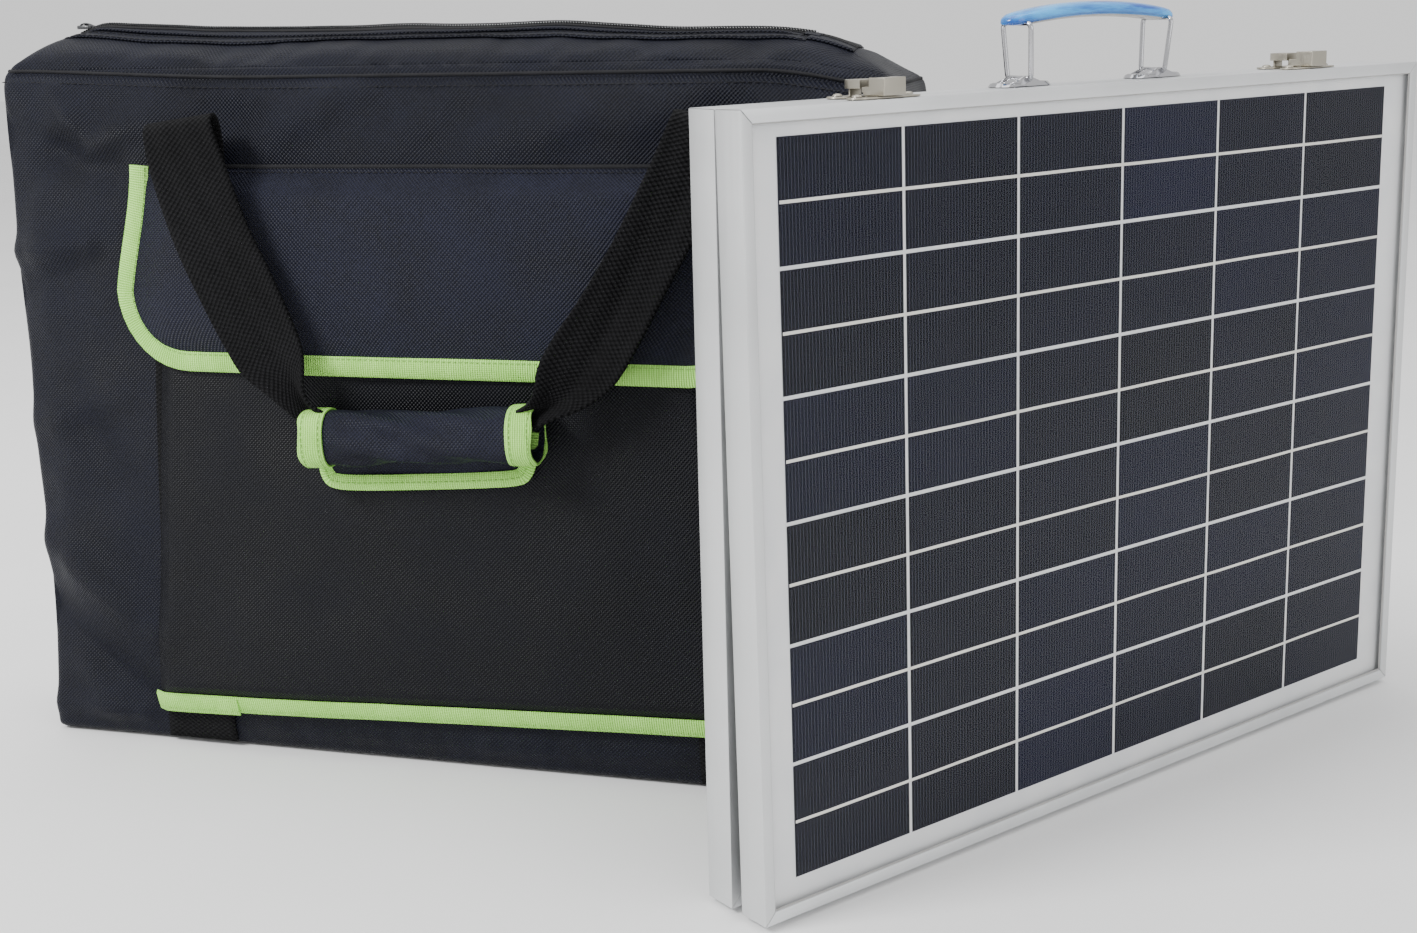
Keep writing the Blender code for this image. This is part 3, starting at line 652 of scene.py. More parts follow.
# ---- panels --------------------------------------------------------------------------------------
def dress_frames():
    edge = 0.0004
    for side in SIDES:
        for name in ("bottom_rail", "top_rail"):
            refined(f"{side}_{name}", edge, RAIL)
        for name in ("left_stile", "right_stile"):
            refined(f"{side}_{name}", edge, STILE)
        NODES[side + "_glass"].data.materials[0] = GLASS
        NODES[side + "_cell_laminate"].data.materials[0] = BACKSHEET


def cell_corners(side):
    """Left edges and top edges of the cells in the panel's own frame, and Y of the sheet under them."""
    matrix = SIDES[side]
    face_y = span(side + "_cell_laminate", matrix)[0].y
    margin = 0.0142
    off_centre = 0.0015
    top = span(side + "_top_rail", matrix)[1].z - margin
    width = CELLS * CELL_W + (CELLS - 1) * CELL_GAP
    left = -off_centre - width / 2
    columns = [left + k * (CELL_W + CELL_GAP) for k in range(CELLS)]
    rows = [top - k * (CELL_H + CELL_GAP) for k in range(CELLS)]
    return columns, rows, face_y


def make_cells(side):
    """The cells as thin separate wafers on the backsheet, each with its own tint."""
    chance = random.Random(side)
    columns, rows, face_y = cell_corners(side)
    matrix = SIDES[side]
    y = face_y - 0.00012
    vertices = []
    faces = []
    tints = []
    for top in rows:
        for left in columns:
            base = len(vertices)
            right = left + CELL_W
            foot = top - CELL_H
            corners = [(left, foot), (right, foot), (right, top), (left, top)]
            vertices += [matrix @ Vector((x, y, z)) for x, z in corners]
            faces.append((base, base + 1, base + 2, base + 3))
            tints += [chance.random() ** 2] * 4
    item = object_from(side + "_cells", vertices, faces, CELL, smooth=False)
    layer = item.data.uv_layers.new(name="UVMap")
    for loop, uv in zip(layer.data, [(0, 0), (1, 0), (1, 1), (0, 1)] * len(faces)):
        loop.uv = uv
    tint = item.data.attributes.new("tint", "FLOAT", "POINT")
    tint.data.foreach_set("value", tints)
    attach(side + "_panel", "cells_and_backsheet", item)


def make_ribbons(side):
    """One tinned ribbon along each row of cells, a little uneven where it was soldered."""
    columns, rows, face_y = cell_corners(side)
    matrix = SIDES[side]
    bm = bmesh.new()
    half = 0.00085
    crown = matrix.to_3x3() @ Vector((0, -0.00016, 0))
    inset = 0.0006
    start = columns[0] + inset
    end = columns[-1] + CELL_W - inset
    steps = 120
    for row, top in enumerate(rows):
        middle = top - CELL_H / 2
        before = None
        for step in range(steps + 1):
            x = start + (end - start) * step / steps
            drift = 0.00035 * noise.noise(Vector((x * 14, row * 3.7, 1.0)))
            lift = 0.00016 + 0.00010 * noise.noise(Vector((x * 120, row * 5.1, 4.0)))
            three = [bm.verts.new(matrix @ Vector((x, face_y - 0.00018 - lift, middle + drift + part)))
                     for part in (-half, 0, half)]
            three[1].co += crown
            if before:
                for k in range(2):
                    bm.faces.new((before[k], three[k], three[k + 1], before[k + 1]))
            before = three
    item = from_bmesh(side + "_ribbons", bm, RIBBON)
    item.data.shade_smooth()
    attach(side + "_panel", "nickel_plate", item)


def make_seal(side):
    """Grey bead of sealant where the glass goes under the lip."""
    matrix = SIDES[side]
    glass_y = span(side + "_glass", matrix)[0].y
    lip = 0.0068
    inset = lip + 0.0001
    left = span(side + "_left_stile", matrix)[0].x + inset
    right = span(side + "_right_stile", matrix)[1].x - inset
    bottom = span(side + "_bottom_rail", matrix)[0].z + inset
    top = span(side + "_top_rail", matrix)[1].z - inset
    corners = [(left, bottom), (right, bottom), (right, top), (left, top)]
    points = [matrix @ Vector((x, glass_y - 0.0001, z)) for x, z in corners]
    middle = sum(points, Vector()) / 4
    sides = [middle - point for point in points]
    section = [(-0.0004, -0.0003), (0.0007, -0.0003), (0.0002, 0.0002), (-0.0004, 0.0007)]
    item = sweep(side + "_seal", points, sides, section, GREY_PLASTIC, closed=True)
    attach(side + "_panel", "black_plastic", item)


def make_panels():
    dress_frames()
    for side in SIDES:
        make_cells(side)
        make_ribbons(side)
        make_seal(side)


# ---- backs of the panels -------------------------------------------------------------------------
def make_backs():
    """Junction boxes, controller, stands and hinges, seen once the panels are open."""
    for side, matrix in SIDES.items():
        refined(side + "_junction_box", 0.0008, BLACK_PLASTIC)
        refined(side + "_junction_box_lid", 0.0008, BLACK_PLASTIC)
        low, high = span(side + "_junction_box_lid", matrix)
        inset = 0.005
        spots = [matrix @ Vector((x, high.y, z)) for x in (low.x + inset, high.x - inset)
                 for z in (low.z + inset, high.z - inset)]
        outwards = matrix.to_3x3() @ Vector((0, 1, 0))
        screws = rivets(side + "_box_screws", spots, outwards, 0.0022, 0.0009, STEEL, slot=True)
        attach(side + "_panel", "zinc_steel", screws)
        for name in ("stand_left_leg", "stand_right_leg"):
            refined(f"{side}_{name}", 0.0003, STILE)
        refined(side + "_stand_foot_bar", 0.0003, RAIL)
        make_foot_sleeves(side)
        for name in ("left_hinge_leaf", "right_hinge_leaf"):
            refined(f"{side}_{name}", 0.0003, STEEL)
    for name in ("left_hinge_pin", "right_hinge_pin"):
        refined(name, 0.0002, STEEL)
    make_controller()


def make_foot_sleeves(side):
    """Rubber sleeves on a stand's foot bar."""
    matrix = SIDES[side]
    low, high = span(side + "_stand_foot_bar", matrix)
    centre = (low + high) / 2
    radius = (high.z - low.z) / 2 + 0.0011
    sides = 20
    shape = [(-0.016, 0.75), (-0.0152, 1.0), (0.0152, 1.0), (0.016, 0.75)]
    faces = tube_faces(len(shape), sides)
    faces += [tuple(reversed(range(sides))), tuple(range((len(shape) - 1) * sides, len(shape) * sides))]
    for label, x in (("left", low.x + 0.030), ("right", high.x - 0.030)):
        vertices = []
        for along, size in shape:
            vertices += [matrix @ (Vector((x + along, centre.y + a * size, centre.z + b * size)))
                         for a, b in round_section(radius, sides)]
        sleeve = object_from(f"{side}_{label}_foot_sleeve", vertices, faces, DARK_RUBBER)
        attach(side + "_stand", "black_plastic", smooth_by_angle(sleeve, 40))


def make_controller():
    """Charge controller: finned base, cover with a plain window, two buttons and terminal screws."""
    refined("charge_controller_base", 0.0006, RAIL)
    refined("charge_controller_cover", 0.0006, BLACK_PLASTIC)
    low, high = span("charge_controller_cover", REAR)
    outwards = REAR.to_3x3() @ Vector((0, 1, 0))
    middle = (low.x + high.x) / 2
    corners = []
    for half, foot, top, depth in ((0.018, 0.030, 0.010, 0.0001), (0.0165, 0.0285, 0.0115, 0.0006)):
        corners += [REAR @ Vector((middle + x, high.y + depth, high.z - down))
                    for x, down in ((-half, foot), (half, foot), (half, top), (-half, top))]
    faces = tube_faces(2, 4) + [(4, 5, 6, 7)]
    window = object_from("controller_window", corners, faces, GREY_PLASTIC, smooth=False)
    places = [REAR @ Vector((middle + x, high.y, high.z - 0.040)) for x in (-0.012, 0.012)]
    buttons = rivets("controller_buttons", places, outwards, 0.0035, 0.0012, GREY_PLASTIC)
    terminals = 6
    margin = 0.012
    step = (high.x - low.x - 2 * margin) / (terminals - 1)
    places = [REAR @ Vector((low.x + margin + step * k, high.y, low.z + 0.010)) for k in range(terminals)]
    screws = rivets("controller_terminals", places, outwards, 0.0026, 0.0008, STEEL, slot=True)
    attach("rear_panel", "black_plastic", window, buttons)
    attach("rear_panel", "zinc_steel", screws)


# ---- latches -------------------------------------------------------------------------------------
def make_latches():
    for label in ("left", "right"):
        refined(label + "_latch_base", 0.0004, NICKEL)
        refined(label + "_latch_keeper", 0.0004, NICKEL)
        refined(label + "_latch_lever", 0.0005, NICKEL, 3)
        refined(label + "_latch_claw", 0.0006, NICKEL, 3)
        for part, matrix, body in (("latch_base", FRONT, "front_panel"),
                                   ("latch_keeper", PANELS, "rear_panel")):
            low, high = span(f"{label}_{part}", matrix)
            middle_y = (low.y + high.y) / 2
            plate_top = low.z + 0.0012
            inset = 0.0055
            spots = [matrix @ Vector((x, middle_y, plate_top)) for x in (low.x + inset, high.x - inset)]
            heads = rivets(f"{label}_{part}_rivets", spots, matrix.to_3x3() @ UP, 0.0027, 0.0013, NICKEL)
            attach(body, "nickel_plate", heads)


# ---- carry handle --------------------------------------------------------------------------------
def make_wire_loop(label):
    """The closed wire loop with smooth bends, along the path of its CAD solid."""
    node = label + "_handle_loop"
    low, high = span(node, PANELS)
    sign = -1 if label == "left" else 1
    radius = 0.0014
    foot_x = (high.x if sign < 0 else low.x) + sign * radius
    top_x = (low.x if sign < 0 else high.x) - sign * radius
    bottom = low.z + radius
    top = high.z - radius
    middle = (low.y + high.y) / 2
    half_top = (high.y - low.y) / 2 - radius
    half_low = half_top - 0.0018
    corners = [Vector((foot_x, middle - half_low, bottom)), Vector((foot_x, middle + half_low, bottom)),
               Vector((top_x, middle + half_top, top)), Vector((top_x, middle - half_top, top))]
    bend = 0.0034
    points = []
    for index, corner in enumerate(corners):
        towards = (corners[index - 1] - corner).normalized()
        away = (corners[(index + 1) % 4] - corner).normalized()
        for step in range(9):
            t = step / 8
            start = corner + towards * bend
            end = corner + away * bend
            points.append(start * (1 - t) ** 2 + corner * 2 * t * (1 - t) + end * t * t)
    points = [PANELS @ point for point in points]
    sides = [FOLD_AXIS] * len(points)
    shown_for(sweep(node + "_wire", points, sides, round_section(radius, 16), CHROME, closed=True), node)


def make_bracket(label):
    """Pressed oval saddle: a dished plate with a raised hump over the wire, and dark sheets at the hump's
    ends for the painted shade of its tunnel.
    """
    node = label + "_handle_bracket"
    low, high = span(node, PANELS)
    centre = Vector(((low.x + high.x) / 2, (low.y + high.y) / 2, low.z))
    half_x = (high.x - low.x) / 2
    half_y = (high.y - low.y) / 2
    rise = high.z - low.z

    def top(x, y):
        edge = max(abs(x) - (half_x - half_y), 0.0)
        reach = math.hypot(edge, y) / half_y
        rim = 0.0012 + 0.0009 * math.exp(-((reach - 0.80) / 0.13) ** 2)
        plate = rim * min(1.0, max(0.0, (1.0 - reach) * 6))
        saddle = (rise - 0.0004) * math.exp(-(abs(x) / 0.0062) ** 2.6)
        return max(plate, saddle * (1 if abs(y) < half_y * 0.86 else 0.0) + 0.0001)

    rings = 14
    spokes = 56
    vertices = []
    for ring in range(rings + 1):
        share = ring / rings
        for k in range(spokes):
            turn = math.tau * k / spokes
            straight = (half_x - half_y) * share * math.copysign(1, math.cos(turn))
            x = math.cos(turn) * half_y * share + straight
            y = math.sin(turn) * half_y * share
            if abs(math.cos(turn)) < 1e-6:
                x = 0.0
            vertices.append(PANELS @ (centre + Vector((x, y, top(x, y)))))
    plate = object_from(node + "_plate", vertices, tube_faces(rings + 1, spokes), CHROME)
    smooth_by_angle(plate, 50)
    modify(plate, "WELD", merge_threshold=0.00005)
    shown_for(plate, node)
    # Painted shade: two flat dark sheets at the hump's mouths stand for the shade inside the wire's tunnel.
    mouths = []
    for side in (-1, 1):
        y = side * half_y * 0.875
        mouths += [PANELS @ (centre + Vector((x, y, z))) for x, z in
                   ((-0.0045, 0.0004), (0.0045, 0.0004), (0.0016, rise - 0.0018), (-0.0016, rise - 0.0018))]
    tunnel_shade = object_from(node + "_tunnel", mouths, [(0, 1, 2, 3), (7, 6, 5, 4)], DARK_RUBBER, smooth=False)
    spots = [PANELS @ (centre + Vector((x, 0, 0.0012))) for x in (-0.0145, 0.0145)]
    heads = rivets(node + "_rivets", spots, UP, 0.0026, 0.0013, CHROME)
    attach("rear_panel", "chrome_plate", tunnel_shade, heads)


GRIP_RINGS = 48
GRIP_SIDES = 32
GRIP_ARCH = 0.0052
GRIP_BASE = 0.0041                   # height of its middle line over its underside at the ends


def grip_ring(low, high, share):
    """Outline of the arched grip at a share of its length, from -1 to 1."""
    half = (high.x - low.x) / 2
    middle = (low + high) / 2
    arch = GRIP_ARCH * (1 - share * share)
    ends = 1 - 0.55 * max(0.0, (abs(share) - 0.90) / 0.10) ** 2
    wide = (high.y - low.y) / 2 * (1 - 0.20 * share ** 4) * ends
    thick = 0.0050 * (1 - 0.25 * abs(share) ** 5) * ends
    centre_z = low.z + GRIP_BASE + arch
    ring = []
    for k in range(GRIP_SIDES):
        turn = math.tau * k / GRIP_SIDES
        a = math.copysign(abs(math.cos(turn)) ** 0.85, math.cos(turn))
        b = math.copysign(abs(math.sin(turn)) ** 0.75, math.sin(turn))
        flat = 0.62 if b < 0 else 1.0
        ring.append(Vector((middle.x + share * half, middle.y + a * wide, centre_z + b * thick * flat)))
    return ring


def make_grip():
    """The marbled blue grip with painted shade on its lower flanks and ends, and the grey strip along its
    underside.
    """
    low, high = span("carry_grip", PANELS)
    vertices = []
    rim_shades = []
    for step in range(GRIP_RINGS + 1):
        share = -1 + 2 * step / GRIP_RINGS
        # Painted shade: the grip darkens towards its ends and on its lower flanks.
        end_shade = 0.6 * smoothstep(abs(share), 0.93, 1.0)
        for k, point in enumerate(grip_ring(low, high, share)):
            vertices.append(PANELS @ point)
            level = math.sin(math.tau * k / GRIP_SIDES)
            rim_shades.append(max(0.75 * math.exp(-((level + 0.30) / 0.22) ** 2), end_shade))
    first = range(GRIP_SIDES)
    last = range(GRIP_RINGS * GRIP_SIDES, (GRIP_RINGS + 1) * GRIP_SIDES)
    faces = tube_faces(GRIP_RINGS + 1, GRIP_SIDES) + [tuple(reversed(first)), tuple(last)]
    grip = smooth_by_angle(object_from("carry_grip_body", vertices, faces, GRIP_BLUE), 70)
    rim = grip.data.attributes.new("rim", "FLOAT", "POINT")
    rim.data.foreach_set("value", rim_shades)
    shown_for(grip, "carry_grip")
    middle = (low + high) / 2
    half = (high.x - low.x) / 2

    def strip(u, v):
        share = -0.80 + 1.60 * u
        wide = (high.y - low.y) / 2 * 0.80
        sag = -0.0009 * (1 - (2 * v - 1) ** 2)
        z = low.z + GRIP_BASE + GRIP_ARCH * (1 - share * share) - GRIP_BASE * 0.62 + sag - 0.0002
        return PANELS @ Vector((middle.x + share * half, middle.y + (2 * v - 1) * wide, z))

    attach("grip", "blue_plastic", grid("carry_grip_strip", 40, 8, strip, GREY_PLASTIC, 0.0008, 1.0))


def make_handle():
    for label in ("left", "right"):
        make_wire_loop(label)
        make_bracket(label)
    make_grip()


# ---- carry bag: its skin -------------------------------------------------------------------------
def corner_drop(x):
    """How far the bag's upper right corner hangs below its left one."""
    return RIGHT_DROP * smoothstep(x, 0.205, BAG_HALF)


def leaned(point):
    """Where a point of the upright bag goes as it stands.

    It is sheared to the right, its left edge goes in and up, its right corner and roof sink.
    """
    share = point.z / SEAM_Z
    sunk = max(point.z - SEAM_Z, 0.0) * 0.34 * smoothstep(point.x, 0.05, 0.26)
    drift = LEAN_RIGHT * share - FOOT_LEFT
    left = smoothstep(-point.x, 0.15, BAG_HALF) * smoothstep(point.z, 0.0, 0.09)
    raised = LEFT_RISE * share * smoothstep(-point.x, 0.10, BAG_HALF)
    dropped = corner_drop(point.x + drift) * smoothstep(point.z, 0.30, SEAM_Z)
    return Vector((point.x + drift + LEFT_PULL * left, point.y, point.z - sunk + raised - dropped))


def bag_form():
    """Closed form of the bag: a box with a hipped roof and rounded edges, cut into small quads."""
    half = BAG_HALF - 0.0010
    front = BAG_FRONT + 0.0015
    back = BAG_BACK - 0.0015
    low = 0.0012
    bm = bmesh.new()
    plan = [(-half, front), (half, front), (half, back), (-half, back)]
    base = [bm.verts.new((x, y, low)) for x, y in plan]
    seam = [bm.verts.new((x, y, SEAM_Z)) for x, y in plan]
    ridge = [bm.verts.new((x, 0, RIDGE_Z - 0.0015)) for x in (-RIDGE_HALF, RIDGE_HALF)]
    bm.faces.new(list(reversed(base)))
    for k in range(4):
        after = (k + 1) % 4
        bm.faces.new((base[k], base[after], seam[after], seam[k]))
    bm.faces.new((seam[0], seam[1], ridge[1], ridge[0]))
    bm.faces.new((seam[2], seam[3], ridge[0], ridge[1]))
    bm.faces.new((seam[1], seam[2], ridge[1]))
    bm.faces.new((seam[3], seam[0], ridge[0]))
    bmesh.ops.bevel(bm, geom=list(bm.edges), offset=0.0045, segments=2, affect="EDGES", profile=0.5)
    for axis, reach in ((0, half), (1, back), (2, RIDGE_Z)):
        steps = int(2 * reach / SKIN_PITCH) if axis < 2 else int(reach / SKIN_PITCH)
        start = -reach if axis < 2 else 0.0
        width = (2 * reach if axis < 2 else reach) / steps
        for step in range(1, steps):
            place = Vector((0, 0, 0))
            place[axis] = start + width * step
            normal = Vector((0, 0, 0))
            normal[axis] = 1
            parts = list(bm.verts) + list(bm.edges) + list(bm.faces)
            bmesh.ops.bisect_plane(bm, geom=parts, plane_co=place, plane_no=normal)
    bmesh.ops.remove_doubles(bm, verts=bm.verts, dist=0.0012)
    for vertex in bm.verts:
        vertex.co = leaned(vertex.co)
    bmesh.ops.recalc_face_normals(bm, faces=bm.faces)
    return from_bmesh("bag_skin", bm, NYLON)


def simulate(item, held, pressure, slack, cap, steps=20):
    """Blows the piece up gently as slack cloth and applies the result, with no point moved past the cap."""
    start = [v.co.copy() for v in item.data.vertices]
    group = item.vertex_groups.new(name="held")
    for index, weight in held:
        group.add([index], weight, "REPLACE")
    cloth = item.modifiers.new("cloth", "CLOTH")
    cloth.point_cache.frame_end = steps
    settings = cloth.settings
    settings.quality = 5
    settings.mass = 0.25
    settings.tension_stiffness = 20
    settings.compression_stiffness = 20
    settings.shear_stiffness = 8
    settings.bending_stiffness = 0.4
    settings.use_pressure = True
    settings.uniform_pressure_force = pressure
    settings.shrink_min = -slack
    settings.vertex_group_mass = "held"
    settings.effector_weights.gravity = 0
    for step in range(1, steps + 1):
        bpy.context.scene.frame_set(step)
    apply_modifiers(item)
    bpy.context.scene.frame_set(1)
    item.vertex_groups.clear()
    for vertex, before in zip(item.data.vertices, start):
        moved = vertex.co - before
        if moved.length > cap:
            vertex.co = before + moved.normalized() * cap


FOLDS = (                            # soft folds of the front wall: two ends (x, z), half width, height
    ((-0.240, 0.424), (-0.218, 0.392), 0.009, 0.0020),
    ((-0.218, 0.392), (-0.176, 0.412), 0.010, 0.0018),
    ((-0.272, 0.398), (-0.205, 0.378), 0.013, -0.0030),
    ((-0.278, 0.326), (-0.225, 0.332), 0.008, 0.0024),
    ((-0.280, 0.300), (-0.215, 0.318), 0.012, -0.0016),
    ((-0.281, 0.215), (-0.215, 0.236), 0.012, 0.0014),
    ((-0.280, 0.134), (-0.206, 0.078), 0.013, 0.0032),
    ((-0.285, 0.092), (-0.222, 0.036), 0.012, -0.0028),
    ((-0.286, 0.019), (-0.222, 0.020), 0.009, 0.0018),
    ((-0.070, 0.404), (0.010, 0.418), 0.016, -0.0020),
    ((0.060, 0.396), (0.135, 0.417), 0.014, 0.0016),
    ((-0.150, 0.424), (-0.105, 0.404), 0.012, -0.0018),
    ((-0.095, 0.395), (-0.040, 0.425), 0.013, 0.0018),
    ((0.010, 0.392), (0.060, 0.424), 0.012, -0.0018),
    ((0.150, 0.388), (0.215, 0.424), 0.014, -0.0020),
    ((0.215, 0.395), (0.268, 0.360), 0.014, 0.0022),
    ((-0.262, 0.260), (-0.222, 0.180), 0.016, -0.0020),
    ((-0.150, 0.010), (0.150, 0.018), 0.010, 0.0012),
)


def fold_height(x, z):
    height = 0.0
    for (x1, z1), (x2, z2), width, rise in FOLDS:
        run = Vector((x2 - x1, z2 - z1))
        share = min(max(((x - x1) * run.x + (z - z1) * run.y) / run.length_squared, 0.0), 1.0)
        away = math.hypot(x - x1 - run.x * share, z - z1 - run.y * share)
        taper = 0.35 + 0.65 * math.sin(math.pi * min(max(share, 0.12), 0.88))
        height += 1.9 * rise * taper * math.exp(-(away / width) ** 2)
    return height


def seam_z(x):
    """Height of the roof's seam, which climbs towards the left corner and drops at the right one."""
    return SEAM_Z + LEFT_RISE * smoothstep(-x, 0.10, BAG_HALF) - corner_drop(x)


def crease(item):
    """Folds and slow dents, mostly on the walls, pushed along the skin's own normals."""
    mesh = item.data
    normals = [v.normal.copy() for v in mesh.vertices]
    for vertex, normal in zip(mesh.vertices, normals):
        place = vertex.co
        slow = noise.noise(Vector((place.x * 11, place.y * 9, place.z * 13)))
        quick = noise.noise(Vector((place.x * 34 + 7, place.y * 30, place.z * 27)))
        height = 0.0016 * slow + 0.0006 * quick
        if normal.y < -0.5:
            height += fold_height(place.x, place.z)
        elif normal.y > 0.5:
            height += fold_height(-place.x, place.z)
        upright = smoothstep(abs(normal.y), 0.30, 0.75)
        height -= 0.0036 * upright * math.exp(-((place.z - seam_z(place.x)) / 0.0065) ** 2)
        climb = (place.z - seam_z(place.x)) / (RIDGE_Z - SEAM_Z)
        if climb > 0.0:
            sloping = smoothstep(normal.z, 0.20, 0.60)
            height += 0.0034 * sloping * math.sin(math.pi * min(climb / 0.72, 1.0))
            height += 0.0010 * sloping * noise.noise(Vector((place.x * 15, (place.z + place.y) * 26, 9.0)))
        near_floor = smoothstep(place.z, 0.001, 0.02)
        vertex.co = place + normal * height * near_floor


def seam_weight(place):
    """How firmly a point of the skin is held: most at the sewn edges and the floor."""
    away_x = BAG_HALF - abs(place.x)
    away_y = BAG_BACK - abs(place.y)
    corner = math.hypot(max(away_x, 0), max(away_y, 0))
    edges = [corner, math.hypot(place.z, away_x), math.hypot(place.z, away_y),
             math.hypot(place.z - SEAM_Z, min(away_x, away_y))]
    if place.z > SEAM_Z + 0.01:
        edges.append(abs(place.y) * 0.8)
    return 1.0 - smoothstep(min(edges), 0.003, 0.020)


def hip_depth(place):
    """Positive on the hips, the roof's two sloping ends."""
    drift = LEAN_RIGHT * place.z / SEAM_Z - FOOT_LEFT
    reach = (BAG_HALF - RIDGE_HALF) * (1 - abs(place.y) / BAG_BACK)
    return abs(place.x - drift) - (BAG_HALF - reach)


def cut_roofs(item):
    """Cuts the skin along the roof's seams into the body with its hips, and the two roof flaps.

    The dropped corner is lifted while the cuts are made, so that the lowest cut follows the seam.
    """
    bm = bmesh.new()
    bm.from_mesh(item.data)
    for vertex in bm.verts:
        vertex.co.z += corner_drop(vertex.co.x)
    top = RIDGE_Z * 2
    planes = [(Vector((0, 0, ROOF_CUT_Z)), UP), (Vector((0, 0, top)), Vector((0, 1, 0)))]
    for side in (-1, 1):
        for face in (-1, 1):
            end = Vector((side * BAG_HALF + SEAM_DRIFT, face * BAG_BACK, top))
            run = Vector((side * RIDGE_HALF + SEAM_DRIFT, 0, top)) - end
            planes.append((end, run.cross(UP).normalized()))
    for index, (place, normal) in enumerate(planes):
        parts = list(bm.verts) + list(bm.edges) + list(bm.faces)
        if index:
            faces = [face for face in bm.faces if face.calc_center_median().z > ROOF_CUT_Z - 0.0005]
            corners = list({v for f in faces for v in f.verts})
            edges = list({e for f in faces for e in f.edges})
            parts = corners + edges + faces
        bmesh.ops.bisect_plane(bm, geom=parts, plane_co=place, plane_no=normal)
    pieces = {}
    for name, wanted in (("front", lambda c: c.y < 0), ("rear", lambda c: c.y >= 0)):
        part = bm.copy()
        away = [face for face in part.faces
                if not (face.calc_center_median().z > ROOF_CUT_Z and wanted(face.calc_center_median())
                        and hip_depth(face.calc_center_median()) < 0)]
        bmesh.ops.delete(part, geom=away, context="FACES")
        for vertex in part.verts:
            vertex.co.z -= corner_drop(vertex.co.x)
        pieces[name] = from_bmesh(f"bag_{name}_roof_skin", part, NYLON)
    away = [face for face in bm.faces
            if face.calc_center_median().z > ROOF_CUT_Z and hip_depth(face.calc_center_median()) < 0]
    bmesh.ops.delete(bm, geom=away, context="FACES")
    for vertex in bm.verts:
        vertex.co.z -= corner_drop(vertex.co.x)
    bm.to_mesh(item.data)
    bm.free()
    return pieces


def line_inside(item, thickness):
    """Gives a skin its padding and a lining on the inside."""
    item.data.materials.append(LINING)
    modify(item, "SOLIDIFY", thickness=thickness, offset=-1, material_offset=1, material_offset_rim=0,
           use_quality_normals=True)


def soften(item):
    """Rounds the roof's hips, the upper right corners and, less, the bag's ends."""
    group = item.vertex_groups.new(name="soft")
    for vertex in item.data.vertices:
        place = vertex.co
        high = smoothstep(place.z, SEAM_Z + 0.002, SEAM_Z + 0.010)
        out = smoothstep(abs(place.x), RIDGE_HALF - 0.05, RIDGE_HALF + 0.01)
        corner = smoothstep(place.x, BAG_HALF - 0.04, BAG_HALF - 0.01) * smoothstep(place.z, 0.30, 0.42)
        end = smoothstep(abs(place.x), BAG_HALF - 0.03, BAG_HALF - 0.012)
        end *= 0.45 * smoothstep(place.z, 0.01, 0.05)
        group.add([vertex.index], max(high * out, corner, end), "REPLACE")
    modify(item, "SMOOTH", factor=0.5, iterations=9, vertex_group="soft")
    item.vertex_groups.clear()


def make_bag_skin():
    skin = bag_form()
    held = [(v.index, seam_weight(v.co)) for v in skin.data.vertices]
    simulate(skin, held, 2.5, 0.012, 0.0045)
    soften(skin)
    modify(skin, "SUBSURF", levels=1, render_levels=1)
    crease(skin)
    for vertex in skin.data.vertices:
        vertex.co.z = max(vertex.co.z, STANDING_Z)
    skin.data.shade_smooth()
    tree = BVHTree.FromObject(skin, bpy.context.evaluated_depsgraph_get())
    roofs = cut_roofs(skin)
    for item, thickness in ((skin, 0.0040), (roofs["front"], 0.0028), (roofs["rear"], 0.0028)):
        project_uvs(item)
        line_inside(item, thickness)
        item.data.shade_smooth()
    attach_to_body(skin, "bag")
    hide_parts("bag_floor", "bag_front_wall", "bag_rear_wall", "bag_left_end", "bag_right_end",
                "bag_left_hip", "bag_right_hip")
    for name, side in (("front", -1), ("rear", 1)):
        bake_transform(roofs[name])
        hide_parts(f"bag_{name}_roof")
    return tree


SKIN = make_bag_skin()


def wall_y(x, z, side=-1):
    """Y of the skin's outside at a place on the front wall (side -1) or the rear wall (side 1)."""
    total = 0.0
    spread = ((0, 0), (0.007, 0), (-0.007, 0), (0, 0.007), (0, -0.007))
    for dx, dz in spread:
        start = Vector((x + dx, side * 0.3, max(z + dz, 0.004)))
        hit = SKIN.ray_cast(start, Vector((0, -side, 0)))[0]
        total += hit.y if hit else side * BAG_BACK
    return total / len(spread)


# ---- carry bag: pocket, flap and bindings --------------------------------------------------------
POCKET_LOW = 0.0375
POCKET_HIGH = 0.3300
POCKET_SLOPE = 0.0324                # the pocket's lower edge climbs to the right
FLAP_HIGH = 0.3790
FLAP_LOW = 0.2562
FLAP_RADIUS = 0.048
FLAP_WIDER = 0.0140                  # it reaches this much further to the right than to the left


def pocket_half(z):
    return 0.2065 - 0.114 * (z - 0.03)


def flap_left(z):
    """Left edge of the flap above its rounded corner."""
    return -0.1840 - 0.0195 * smoothstep(FLAP_HIGH + 0.008 - z, 0.0, 0.105)


def pocket_y(x, z):
    """The pocket's face: it stands off the wall, falling to it at its sewn sides and foot."""
    edge = min(pocket_half(z) - abs(x), z - (POCKET_LOW + POCKET_SLOPE * x))
    rise = POCKET_D * smoothstep(edge, -0.002, 0.013) + 0.0007
    dent = 0.0011 * noise.noise(Vector((x * 12, 3.1, z * 12))) * smoothstep(edge, 0.0, 0.04)
    return wall_y(x, z) - rise - dent


